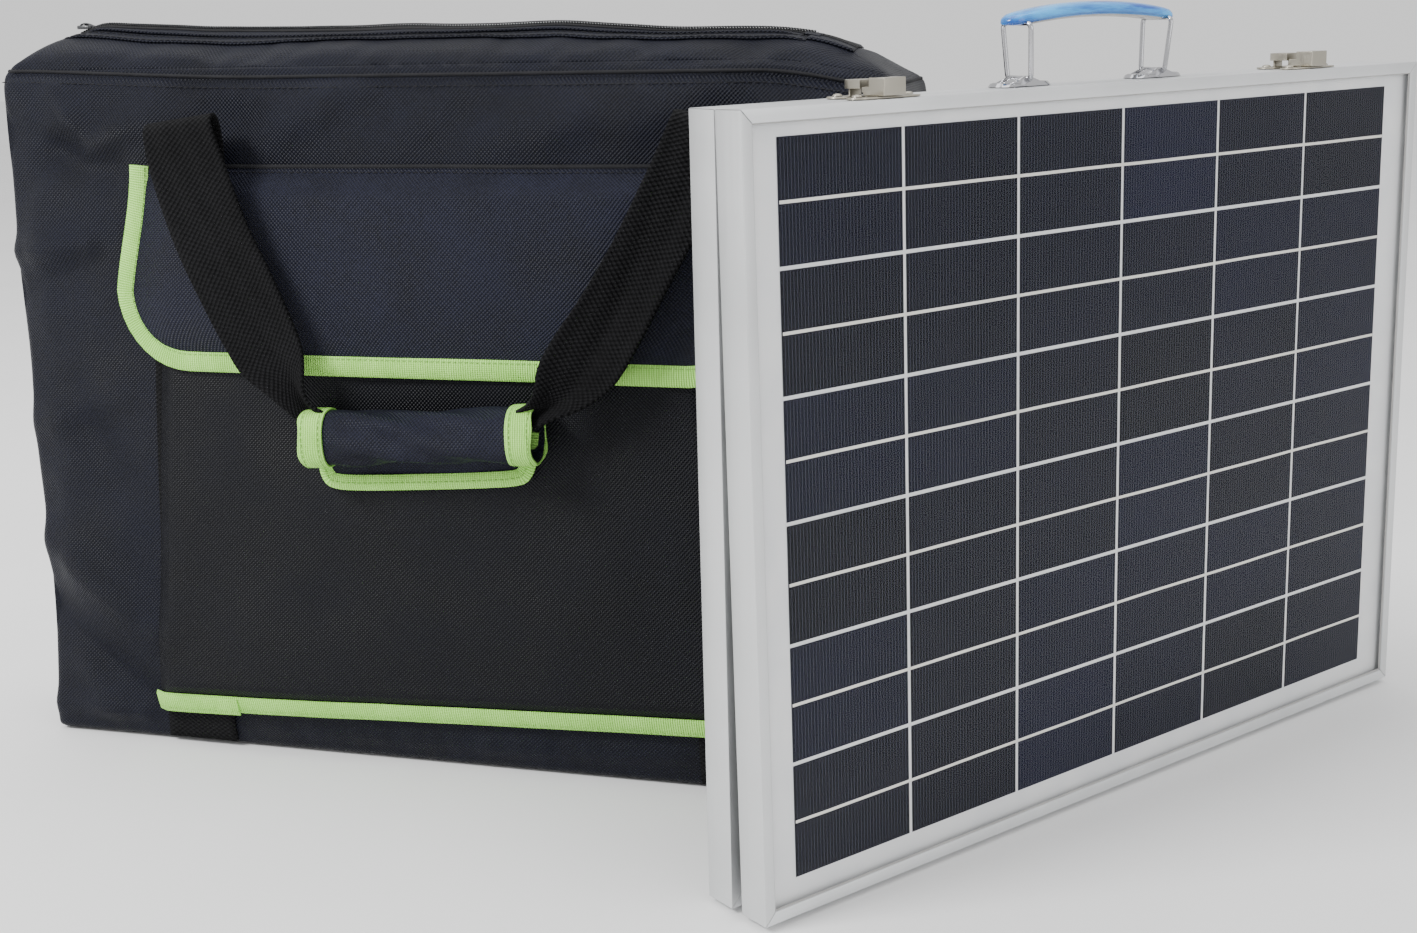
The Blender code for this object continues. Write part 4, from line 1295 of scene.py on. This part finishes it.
def flap_y(x, z):
    """The flap's face: sewn to the wall at its top, resting on the pocket below."""
    margin = min(x - flap_left(z), FLAP_WIDER - flap_left(z) - x)
    sewn = smoothstep(z, 0.364, FLAP_HIGH + 0.001) * smoothstep(margin, 0.004, 0.034)
    over = pocket_y(min(max(x, -0.150), 0.150), min(z, POCKET_HIGH - 0.004))
    wall = wall_y(x, z)
    hang = over - 0.0030 - 0.0006 * math.sin((x + 0.1) * 26)
    drop = 0.0045 * (1 - smoothstep(margin, 0.0, 0.040))
    return (hang + drop) * (1 - sewn) + (wall - 0.0016) * sewn


def flap_edges(z):
    """Left and right edge of the flap at a height, round corners included."""
    corner_z = FLAP_LOW + FLAP_RADIUS
    edge = flap_left(max(z, corner_z))
    if z < corner_z:
        edge += FLAP_RADIUS - math.sqrt(max(FLAP_RADIUS ** 2 - (corner_z - z) ** 2, 0.0))
    return edge, FLAP_WIDER - edge


def make_pocket():
    def place(u, v):
        z = POCKET_LOW + (POCKET_HIGH - POCKET_LOW) * v
        x = pocket_half(z) * (2 * u - 1)
        z += POCKET_SLOPE * x * (1 - v)
        return x, pocket_y(x, z), z

    panel = grid("pocket_panel", 110, 72, place, PAINTED_SHADE_NYLON, 0.0014, -1.0)
    attach("bag", "black_nylon", panel)
    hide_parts("bag_pocket_panel")
    strip_points = []
    steps = 60
    for k in range(steps + 1):
        x = -pocket_half(POCKET_LOW) - 0.0005 + (2 * pocket_half(POCKET_LOW) + 0.001) * k / steps
        z = POCKET_LOW + POCKET_SLOPE * x + 0.0005
        strip_points.append(Vector((x, min(pocket_y(x, z + 0.004), pocket_y(x, z)) - 0.0012, z)))
    strip_sides = [UP + OUT * 0.25] * len(strip_points)
    strip = sweep("pocket_binding", strip_points, strip_sides, tape_section(0.0122, 0.0018), GREEN)
    rows = []
    for label, lift in (("low", -0.0042), ("high", 0.0046)):
        line = [p + UP * lift + OUT * 0.0011 for p in strip_points]
        rows.append(stitches(f"pocket_stitches_{label}", line, OUT, GREEN_THREAD))
    tab_points = [p + OUT * 0.0010 - UP * 0.0012 for p in strip_points[:10]]
    tab_sides = [UP + OUT * 0.2] * len(tab_points)
    tab = sweep("pocket_binding_end", tab_points, tab_sides, tape_section(0.0124, 0.0012), GREEN)
    attach("bag", "black_nylon", strip, tab, *rows)


def flap_outline(inset):
    """Points down the left side, round the corners and up the right side, inset from the edge."""
    corner_z = FLAP_LOW + FLAP_RADIUS
    top = FLAP_HIGH + 0.002
    points = []
    for k in range(13):
        z = top + (corner_z - top) * k / 12
        points.append((flap_left(z) + inset, z))
    centre_x = flap_left(corner_z) + FLAP_RADIUS
    for k in range(1, 10):
        turn = math.pi + math.pi / 2 * k / 9
        points.append((centre_x + (FLAP_RADIUS - inset) * math.cos(turn),
                       corner_z + (FLAP_RADIUS - inset) * math.sin(turn)))
    middle = FLAP_WIDER / 2
    for k in range(1, 20):
        points.append((centre_x + (middle - centre_x) * k / 20, FLAP_LOW + inset))
    return points + [(middle, FLAP_LOW + inset)] + [(FLAP_WIDER - x, z) for x, z in reversed(points)]


def sides_of(line):
    """Side vectors of a band that lies flat against the wall along the line."""
    last = len(line) - 1
    return [(line[min(k + 1, last)] - line[max(k - 1, 0)]).cross(OUT) for k in range(len(line))]


def make_flap():
    def place(u, v):
        z = FLAP_LOW + 0.0015 + (FLAP_HIGH - FLAP_LOW - 0.0015) * v
        left, right = flap_edges(z)
        x = left + 0.001 + (right - left - 0.002) * u
        return x, flap_y(x, z), z

    flap = grid("pocket_flap_panel", 110, 36, place, PAINTED_LIT_NYLON, 0.0022, -1.0)
    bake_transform(flap)
    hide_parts("bag_pocket_flap")
    outline = flap_outline(BINDING_W / 2 - 0.0008)
    points = [Vector((x, flap_y(x, min(z, FLAP_HIGH)) + 0.0008, z)) for x, z in outline]
    sides = sides_of(points)
    band = sweep("flap_binding", points, sides, tape_section(BINDING_W, BINDING_T, 0.15), GREEN)
    inner = [p - side.normalized() * 0.0046 + OUT * 0.0017 for p, side in zip(points, sides)]
    seam = stitches("flap_stitches", inner, OUT, GREEN_THREAD, 0.0036, 0.0026, 0.00028)
    for piece in (band, seam):
        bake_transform(piece)
    def level_line(half, z, face, off):
        """Points to both sides of the bag's middle at one height, a little off a face."""
        line = []
        for k in range(61):
            x = -half + 2 * half * k / 60
            line.append(Vector((x, face(x, z) - off, z)))
        return line

    top_line = level_line(0.172, FLAP_HIGH - 0.0022, flap_y, 0.0002)
    top_seam = stitches("flap_top_stitches", top_line, OUT, THREAD)
    # A dark cord along the flap's top: it stands for the fold there, and its dark colour paints the shadow
    # line above the flap.
    fold_shadow_line = level_line(0.178, FLAP_HIGH + 0.0008, wall_y, 0.0006)
    fold = sweep("flap_top_fold_shadow", fold_shadow_line, [UP] * len(fold_shadow_line), round_section(0.0015, 8), THREAD)
    attach("bag", "black_nylon", top_seam, fold)


# ---- carry bag: sewn webbing and handles ---------------------------------------------------------
HANDLE_LOW, HANDLE_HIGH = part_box("bag_front_handle")
HANDLE_FRONT_Y = (HANDLE_LOW.y + HANDLE_HIGH.y) / 2
HANDLE_X = (HANDLE_LOW.x + HANDLE_HIGH.x) / 2
WRAP_LOW, WRAP_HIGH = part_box("bag_handle_wrap")

# Down the left strap: x and z of its middle, y forward of the hanging plane, tilt in degrees,
# half its width, how far its edges curl forward.
LEFT_STRAP = (
    (-0.1500, 0.3660, -0.0225, 4, 0.0250, 0.0),
    (-0.1470, 0.3900, -0.0190, 6, 0.0248, 0.0),
    (-0.1440, 0.4035, -0.0140, 8, 0.0235, 0.0),
    (-0.1417, 0.4088, -0.0070, 8, 0.0226, 0.0),
    (-0.1407, 0.4035, 0.0000, 9, 0.0230, 0.0),
    (-0.1355, 0.3800, 0.0008, 14, 0.0245, 0.0),
    (-0.1235, 0.3410, 0.0010, 20, 0.0252, 0.0008),
    (-0.1090, 0.3090, 0.0010, 26, 0.0256, 0.0015),
    (-0.0970, 0.2840, 0.0012, 27, 0.0245, 0.0025),
    (-0.0880, 0.2670, 0.0014, 24, 0.0222, 0.0050),
    (-0.0795, 0.2555, 0.0016, 31, 0.0155, 0.0080),
    (-0.0728, 0.2440, 0.0018, 46, 0.0090, 0.0100),
    (-0.0655, 0.2350, 0.0010, 66, 0.0070, 0.0100),
    (-0.0540, 0.2270, 0.0000, 88, 0.0080, 0.0060),
)
RIGHT_STRAP = (
    (0.1905, 0.3660, -0.0225, -2, 0.0250, 0.0),
    (0.1905, 0.3900, -0.0190, -5, 0.0248, 0.0),
    (0.1905, 0.4035, -0.0140, -9, 0.0235, 0.0),
    (0.1880, 0.4080, -0.0070, -10, 0.0226, 0.0),
    (0.1860, 0.4030, 0.0000, -13, 0.0222, 0.0010),
    (0.1735, 0.3770, 0.0008, -25, 0.0212, 0.0025),
    (0.1500, 0.3350, 0.0010, -29, 0.0202, 0.0050),
    (0.1285, 0.2985, 0.0010, -29, 0.0212, 0.0060),
    (0.1118, 0.2740, 0.0012, -27, 0.0225, 0.0060),
    (0.1015, 0.2600, 0.0014, -23, 0.0205, 0.0070),
    (0.0928, 0.2492, 0.0016, -25, 0.0140, 0.0085),
    (0.0835, 0.2425, 0.0018, -32, 0.0085, 0.0100),
    (0.0735, 0.2365, 0.0010, -58, 0.0072, 0.0100),
    (0.0610, 0.2300, 0.0000, -86, 0.0080, 0.0060),
)


def strap(name, knots, plane_y, facing):
    """Webbing swept down its knots; its cross-section curls towards the viewer where it gathers."""
    rows = curve_points(knots, 8)

    def place(u, v):
        x, z, y, tilt, half, curl = rows[round(v * (len(rows) - 1))]
        across = 2 * u - 1
        turn = math.radians(tilt)
        lift = curl * (math.sqrt(across * across + 0.03) - 0.17) + 0.0004 * math.sin(across * 9 + z * 60)
        return (x + across * half * math.cos(turn), plane_y + facing * (y + lift),
                z + across * half * math.sin(turn))

    return grid(name, 16, len(rows) - 1, place, WEBBING, WEBBING_T, 0.0)


def wall_webbing(name, x, side, low, high, drift=0.0):
    """Webbing sewn flat on a wall, from the floor to where the handle leaves it."""
    def place(u, v):
        across = (u - 0.5) * WEBBING_W
        z = low + (high - low) * v
        at = x + across + drift * z / high
        return at, wall_y(at, z, side) + side * 0.0011, z

    attach("bag", "black_webbing", grid(name, 10, 60, place, WEBBING, WEBBING_T * 0.8, 0.0))


def make_front_handle():
    straps = [strap("front_handle_left_strap", LEFT_STRAP, HANDLE_FRONT_Y, -1),
              strap("front_handle_right_strap", RIGHT_STRAP, HANDLE_FRONT_Y, -1)]
    for piece in straps:
        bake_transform(piece)
        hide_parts("bag_front_handle")
    wall_webbing("front_left_webbing", -0.1785, -1, 0.004, 0.380, 0.0290)
    wall_webbing("front_right_webbing", 0.1900, -1, 0.004, 0.380)


def make_rear_handle():
    """The same handle behind, hanging straight from its folds, its two straps joined by a sewn grip."""
    low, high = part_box("bag_rear_handle")
    plane_y = high.y + 0.0018
    for label, sign in (("left", -1), ("right", 1)):
        knots = []
        for across, z, y, tilt, half, curl in (
                (0.1820, 0.3600, -0.0072, 0, 0.0250, 0), (0.1730, 0.3880, -0.0068, 4, 0.0250, 0),
                (0.1655, 0.4030, -0.0050, 6, 0.0245, 0), (0.1640, 0.4072, -0.0022, 8, 0.0240, 0),
                (0.1620, 0.4030, 0.0003, 10, 0.0245, 0), (0.1530, 0.3700, 0.0007, 20, 0.0250, 0),
                (0.1330, 0.3200, 0.0008, 26, 0.0250, 0), (0.1110, 0.2750, 0.0009, 30, 0.0240, 0.001),
                (0.0950, 0.2480, 0.0012, 38, 0.0200, 0.003), (0.0800, 0.2310, 0.0010, 60, 0.0150, 0.004),
                (0.0600, 0.2240, 0.0006, 88, 0.0130, 0.003), (0.0000, 0.2230, 0.0004, 90, 0.0130, 0.003)):
            knots.append((HANDLE_X + sign * across, z, y, -sign * tilt, half, curl))
        piece = strap(f"rear_handle_{label}_strap", knots, plane_y, 1)
        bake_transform(piece)
        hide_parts("bag_rear_handle")
        wall_webbing(f"rear_{label}_webbing", HANDLE_X + sign * 0.1820, 1, 0.004, 0.380)

    def sleeve(u, v):
        turn = math.tau * v * 1.04
        x = HANDLE_X + (u - 0.5) * 0.130
        soft = 0.0005 * noise.noise(Vector((x * 60, turn * 2, 5.0)))
        return (x, plane_y + 0.0012 + (0.0045 + soft) * math.cos(turn),
                low.z + 0.0190 + (0.0160 + soft) * math.sin(turn))

    grip = grid("rear_handle_grip", 60, 30, sleeve, NYLON, 0.0012, -1.0)
    attach("rear_handle", "black_nylon", grip)
    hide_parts("bag_rear_handle")


# ---- carry bag: wrapped grip of the front handle -------------------------------------------------
WRAP_RISE = 0.0078                   # its right end stands this much higher
WRAP_HALF_Z = 0.0163
WRAP_HALF_Y = 0.0122
BAND = 0.0165


def wrap_point(x, turn, swell):
    """A point round the soft tube at x; turn 0 is its front, a quarter turn its top."""
    middle_x = (WRAP_LOW.x + WRAP_HIGH.x) / 2
    share = (x - WRAP_LOW.x) / (WRAP_HIGH.x - WRAP_LOW.x)
    z = 0.2187 + WRAP_RISE * share
    y = (WRAP_LOW.y + WRAP_HIGH.y) / 2 - 0.0002
    pinch = 1 - 0.10 * math.exp(-((x - middle_x) / 0.030) ** 2)
    a = math.copysign(abs(math.cos(turn)) ** 0.80, math.cos(turn))
    b = math.copysign(abs(math.sin(turn)) ** 0.85, math.sin(turn))
    in_middle = smoothstep(min(share, 1 - share), 0.12, 0.22)
    wave = 0.0011 * noise.noise(Vector((x * 38, turn * 1.3, 2.0))) * in_middle
    ridge = 0.0009 * math.sin(turn * 5 + x * 55 + 2.2 * math.sin(x * 31)) * in_middle
    grow = swell + wave + ridge
    return Vector((x, y - a * (WRAP_HALF_Y + grow), z + b * (WRAP_HALF_Z * pinch + grow)))


def make_wrap():
    start_turn = math.radians(118)
    inset = 0.0012
    overlap = 1.02

    def tube(u, v):
        x = WRAP_LOW.x + inset + (WRAP_HIGH.x - WRAP_LOW.x - 2 * inset) * u
        turn = start_turn + math.tau * v * overlap
        return wrap_point(x, turn, 0.0006 * v)

    body = grid("handle_wrap", 110, 56, tube, PAINTED_LIT_NYLON, 0.0016, -1.0)
    pieces = [body]
    for label, left in (("left", WRAP_LOW.x), ("right", WRAP_HIGH.x - BAND)):
        def band(u, v, left=left):
            x = left + BAND * u + 0.0007 * math.sin(v * 29) * (1 - u if left < 0 else u)
            turn = start_turn + math.tau * v * overlap
            round_edge = 0.0004 * (1 - abs(2 * u - 1) ** 6)
            return wrap_point(x, turn, 0.0011 + 0.0006 * v + round_edge)

        pieces.append(grid(f"handle_wrap_{label}_band", 14, 72, band, GREEN, 0.0012, -1.0))
        for rim, share in (("outer", 0.16), ("inner", 0.84)):
            line = []
            for k in range(49):
                x = left + BAND * share
                turn = math.radians(-95) + math.radians(195) * k / 48
                line.append(wrap_point(x, turn, 0.0020))
            row_name = f"handle_wrap_{label}_{rim}_stitches"
            pieces.append(stitches(row_name, line, OUT, GREEN_THREAD, 0.0036, 0.0026))

    back_y = WRAP_HIGH.y - 0.0008

    def back(u, v):
        x = -0.0660 + 0.1340 * u
        low = 0.1885 + 0.0085 * u
        z = low + 0.032 * v
        return x, back_y - 0.0045 * math.sin(math.pi * v * 0.5) - 0.0006 * math.sin(x * 70), z

    flap = grid("handle_wrap_under_flap", 60, 12, back, PAINTED_LIT_NYLON, 0.0016, 0.0)
    knots = [(-0.0618, 0.2120), (-0.0645, 0.2010), (-0.0640, 0.1940), (-0.0595, 0.1900),
             (-0.0420, 0.1895), (0.0, 0.1920), (0.0380, 0.1948), (0.0590, 0.1972), (0.0650, 0.2010),
             (0.0682, 0.2100), (0.0700, 0.2260)]
    line = [Vector((x, back_y - 0.0022, z)) for x, z in curve_points(knots, 8)]
    band_section = tape_section(0.0098, 0.0032, 0.15)
    trim = sweep("handle_wrap_under_binding", line, sides_of(line), band_section, GREEN)
    row = [p + OUT * 0.0019 for p in line]
    pieces += [flap, trim, stitches("handle_wrap_under_stitches", row, OUT, GREEN_THREAD, 0.0036, 0.0026)]
    attach("front_handle", "black_nylon", *pieces)
    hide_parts("bag_handle_wrap")


# ---- carry bag: roof seams and zip ---------------------------------------------------------------
ZIP_LEFT = -0.2440
ZIP_RIGHT = 0.2320
TAIL_RIGHT = 0.2560                  # its tapes and hems run on down the right hip to here
COIL_PITCH = 0.0017
ZIP_TRAVEL = 0.46                    # how far its slider runs


def roof_z(x, y):
    """Height of the skin's outside at a place on the roof."""
    total = 0.0
    spread = (0, 0.006, -0.006)
    for dx in spread:
        hit = SKIN.ray_cast(Vector((x + dx, y, 1.0)), -UP)[0]
        total += hit.z if hit else RIDGE_Z
    return total / len(spread)


def roof_strip(name, body, side, near, far, left, right, lift, material, columns=170):
    """A folded strip along the roof, from near to far from the zip, its lower edge a little proud."""
    def place(u, v):
        x = left + (right - left) * u
        sway = 0.0008 * math.sin(x * 23 + far * 300)
        y = side * (near + (far + sway - near) * v)
        ends = smoothstep(min(u, 1 - u), 0.0, 0.025)
        edge = lift * (0.15 + 0.85 * smoothstep(v, 0.2, 0.85)) * (1 - smoothstep(v, 0.93, 1.0) * 0.6) * ends
        return x, y + side * edge * 0.4, roof_z(x, y) + edge + 0.0006

    piece = grid(name, columns, 8, place, material, 0.0006, -1.0 if side > 0 else 1.0)
    attach(body, "black_nylon", piece)
    return place


def make_coil(side, body):
    """One half of the zip: a fine coil lying along the tape's edge."""
    reach = ZIP_RIGHT - ZIP_LEFT
    spans = 90
    heights = [roof_z(ZIP_LEFT + reach * k / spans, side * 0.002) for k in range(spans + 1)]
    per_turn = 8
    line = []
    for k in range(int(reach / COIL_PITCH) * per_turn + 1):
        x = ZIP_LEFT + COIL_PITCH * k / per_turn
        turn = math.tau * k / per_turn
        at = (x - ZIP_LEFT) / reach * spans
        index = min(int(at), spans - 1)
        height = heights[index] + (heights[index + 1] - heights[index]) * (at - index)
        line.append(Vector((x, side * (0.00135 + 0.00115 * math.cos(turn)),
                            height + 0.0013 + 0.0007 * math.sin(turn))))
    sides = [Vector((0, 0.3, 1))] * len(line)
    coil = sweep(f"zip_{body}_coil", line, sides, round_section(0.00042, 5), ZIP_COIL)
    attach(body, "black_plastic", coil)


def make_roof_edges(side, body):
    """A roof flap's zip tape, coil, two hems and their stitches, and their fixed tails on the right hip."""
    left = ZIP_LEFT
    right = ZIP_RIGHT
    roof_strip(f"zip_{body}_tape", body, side, 0.0020, 0.0060, left, right, 0.0007, ZIP_TAPE)
    roof_strip(f"{body}_upper_hem", body, side, 0.0046, 0.0102, left + 0.006, right - 0.006, 0.0013, NYLON)
    place = roof_strip(f"{body}_lower_hem", body, side, 0.0098, 0.0187, left - 0.002, right - 0.003,
                       0.0011, NYLON)
    outwards = Vector((0, side * 0.5, 1)).normalized()
    for label, share in (("upper", 0.12), ("lower", 0.86)):
        line = [Vector(place(k / 80, share)) - UP * 0.0001 for k in range(81)]
        attach(body, "black_nylon", stitches(f"{body}_{label}_stitches", line, outwards, THREAD))
    make_coil(side, body)
    for label, near, far, lift, material in (("tape", 0.0006, 0.0050, 0.0006, ZIP_TAPE),
                                             ("hem", 0.0046, 0.0165, 0.0011, NYLON)):
        roof_strip(f"{body}_{label}_tail", "bag", side, near, far, right - 0.003, TAIL_RIGHT, lift,
                   material, 16)


def make_roof_details():
    for side, body in ((-1, "front_roof"), (1, "rear_roof")):
        make_roof_edges(side, body)
    for end, x in (("left", ZIP_LEFT - 0.004), ("right", ZIP_RIGHT - 0.001)):
        def stop(u, v, x=x):
            y = (u - 0.5) * 0.017
            along = x + (v - 0.5) * 0.009
            return along, y, roof_z(along, y) + 0.0006

        attach("bag", "black_nylon", grid(f"zip_{end}_end_tab", 12, 8, stop, NYLON, 0.0006, -1.0))
    make_seam_cord()
    inset = 0.006
    for side, label in ((-1, "front"), (1, "rear")):
        line = []
        for k in range(91):
            x = -BAG_HALF + inset + SEAM_DRIFT + 2 * (BAG_HALF - inset) * k / 90
            level = seam_z(x) - 0.0062
            line.append(Vector((x, wall_y(x, level, side) + side * 0.0002, level)))
        row = stitches(f"{label}_seam_stitches", line, Vector((0, side, 0)), THREAD)
        attach("bag", "black_nylon", row)


def make_seam_cord():
    """Dark cord sewn in all round where the roof meets the walls."""
    corner = 0.010
    left = -BAG_HALF + SEAM_DRIFT + LEFT_PULL
    right = BAG_HALF + SEAM_DRIFT
    row = (left + corner, -0.1, 0.1, right - corner)
    shares = [(x, -1) for x in row] + [(right, -0.7), (right, 0.7)]
    shares += [(x, 1) for x in reversed(row)] + [(left, 0.7), (left, -0.7)]
    knots = [(x, share * BAG_BACK) for x, share in shares]
    line = []
    for x, y in curve_points(knots, 24, closed=True):
        level = seam_z(x) + 0.0002
        centre = Vector((min(max(x, left + 0.05), right - 0.05), 0, level))
        away = Vector((x, y, level)) - centre
        hit = SKIN.ray_cast(centre, away.normalized())[0]
        line.append((hit or Vector((x, y, SEAM_Z))) - away.normalized() * 0.0002)
    cord = sweep("seam_cord", line, [UP] * len(line), round_section(0.0011, 8), THREAD, closed=True)
    attach("bag", "black_nylon", cord)


def make_slider():
    """Zip slider: a rounded body with raised bridge and a hanging pull tab, at its closed end."""
    bm = bmesh.new()
    start_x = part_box("zip_slider")[1].x - 0.0045
    base_z = max(roof_z(start_x, 0), roof_z(start_x + ZIP_TRAVEL, 0)) + 0.0030
    outline = [(-0.0050, 0.0022), (-0.0030, 0.0036), (0.0040, 0.0040), (0.0052, 0.0026)]
    outline += [(x, -y) for x, y in reversed(outline)]
    layers = []
    for z, scale in ((0.0, 0.94), (0.0004, 1.0), (0.0018, 1.0), (0.0023, 0.90)):
        layers.append([bm.verts.new((start_x + x * scale, y * scale, base_z + z)) for x, y in outline])
    for below, above in zip(layers, layers[1:]):
        for k in range(8):
            after = (k + 1) % 8
            bm.faces.new((below[k], below[after], above[after], above[k]))
    bm.faces.new(list(reversed(layers[0])))
    bm.faces.new(layers[-1])
    body = smooth_by_angle(from_bmesh("zip_slider_body", bm, ZIP_COIL), 40)
    bridge_points = [Vector((start_x + 0.0036 * math.cos(math.pi * k / 12), 0,
                             base_z + 0.0020 + 0.0014 * math.sin(math.pi * k / 12))) for k in range(13)]
    bridge_sides = [Vector((0, 1, 0))] * len(bridge_points)
    bridge = sweep("zip_slider_bridge", bridge_points, bridge_sides, tape_section(0.0022, 0.0008), ZIP_COIL)
    tab_x = start_x + 0.001
    tab_points = []
    for k in range(19):
        y = 0.001 + 0.0245 * k / 18
        ground = max(roof_z(tab_x, y), roof_z(tab_x + ZIP_TRAVEL, y)) + 0.0034
        tab_points.append(Vector((tab_x, y, max(base_z + 0.0030 - 0.30 * y, ground))))
    tab_sides = [Vector((1, 0, 0))] * len(tab_points)
    tab = sweep("zip_slider_pull", tab_points, tab_sides, tape_section(0.0052, 0.0011), ZIP_COIL)
    attach("slider", "black_plastic", body, bridge, tab)
    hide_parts("zip_slider")


# ---- scene ---------------------------------------------------------------------------------------
def make_stage():
    """Pale floor and near-white surroundings, whose white world lights the scene softly."""
    floor_material, shader = new_material("floor", (0.86, 0.86, 0.86), 0.9)
    mottle = noise_node(floor_material, coordinates(floor_material), 3.0)
    pale = ramp(floor_material, mottle, (0.84, 0.84, 0.84), (0.88, 0.88, 0.88), 0.3, 0.7)
    connect(floor_material, pale, shader, "Base Color")
    reach = 8
    corners = [(-reach, -reach, 0), (reach, -reach, 0), (reach, reach, 0), (-reach, reach, 0)]
    floor = object_from("floor", corners, [(0, 1, 2, 3)], floor_material, smooth=False)
    world = bpy.data.worlds.new("studio")
    bpy.context.scene.world = world
    world.use_nodes = True
    background = world.node_tree.nodes["Background"]
    background.inputs["Color"].default_value = (1.0, 1.0, 1.0, 1.0)
    background.inputs["Strength"].default_value = 1.0


def add_light(name, location, target, size, power):
    data = bpy.data.lights.new(name, "AREA")
    data.shape = "RECTANGLE"
    data.size, data.size_y = size
    data.energy = power
    light = bpy.data.objects.new(name, data)
    light.location = location
    light.rotation_euler = (Vector(target) - Vector(location)).to_track_quat("-Z", "Y").to_euler()
    bpy.context.scene.collection.objects.link(light)


def make_lights():
    middle = (0.10, 0.0, 0.22)
    add_light("key", (-1.5, -1.5, 2.2), middle, (0.9, 0.7), 85)
    add_light("overhead", (0.1, 0.2, 2.6), (0.1, 0.0, 0.3), (2.6, 2.0), 30)
    add_light("right_fill", (2.4, -1.2, 1.0), middle, (1.6, 1.4), 16)


def make_camera():
    heading = math.radians(-15.84)
    pitch = math.radians(14.248)
    roll = math.radians(1.432)
    level_share = math.cos(pitch)
    forward = Vector((math.sin(heading) * level_share, math.cos(heading) * level_share, -math.sin(pitch)))
    level = Vector((math.cos(heading), -math.sin(heading), 0))
    down = forward.cross(level)
    right = level * math.cos(roll) + down * math.sin(roll)
    up = level * math.sin(roll) - down * math.cos(roll)
    data = bpy.data.cameras.new("camera")
    data.sensor_width = 36.0
    data.lens = 47.03
    data.clip_start = 0.02
    camera = bpy.data.objects.new("camera", data)
    turned = Matrix((right, up, -forward)).transposed().to_4x4()
    camera.matrix_world = Matrix.Translation((0.46121, -1.05678, 0.4725)) @ turned
    bpy.context.scene.collection.objects.link(camera)
    bpy.context.scene.camera = camera


make_camera()
make_stage()
make_lights()
make_panels()
make_backs()
make_latches()
make_handle()
make_pocket()
make_flap()
make_front_handle()
make_rear_handle()
make_wrap()
make_roof_details()
make_slider()
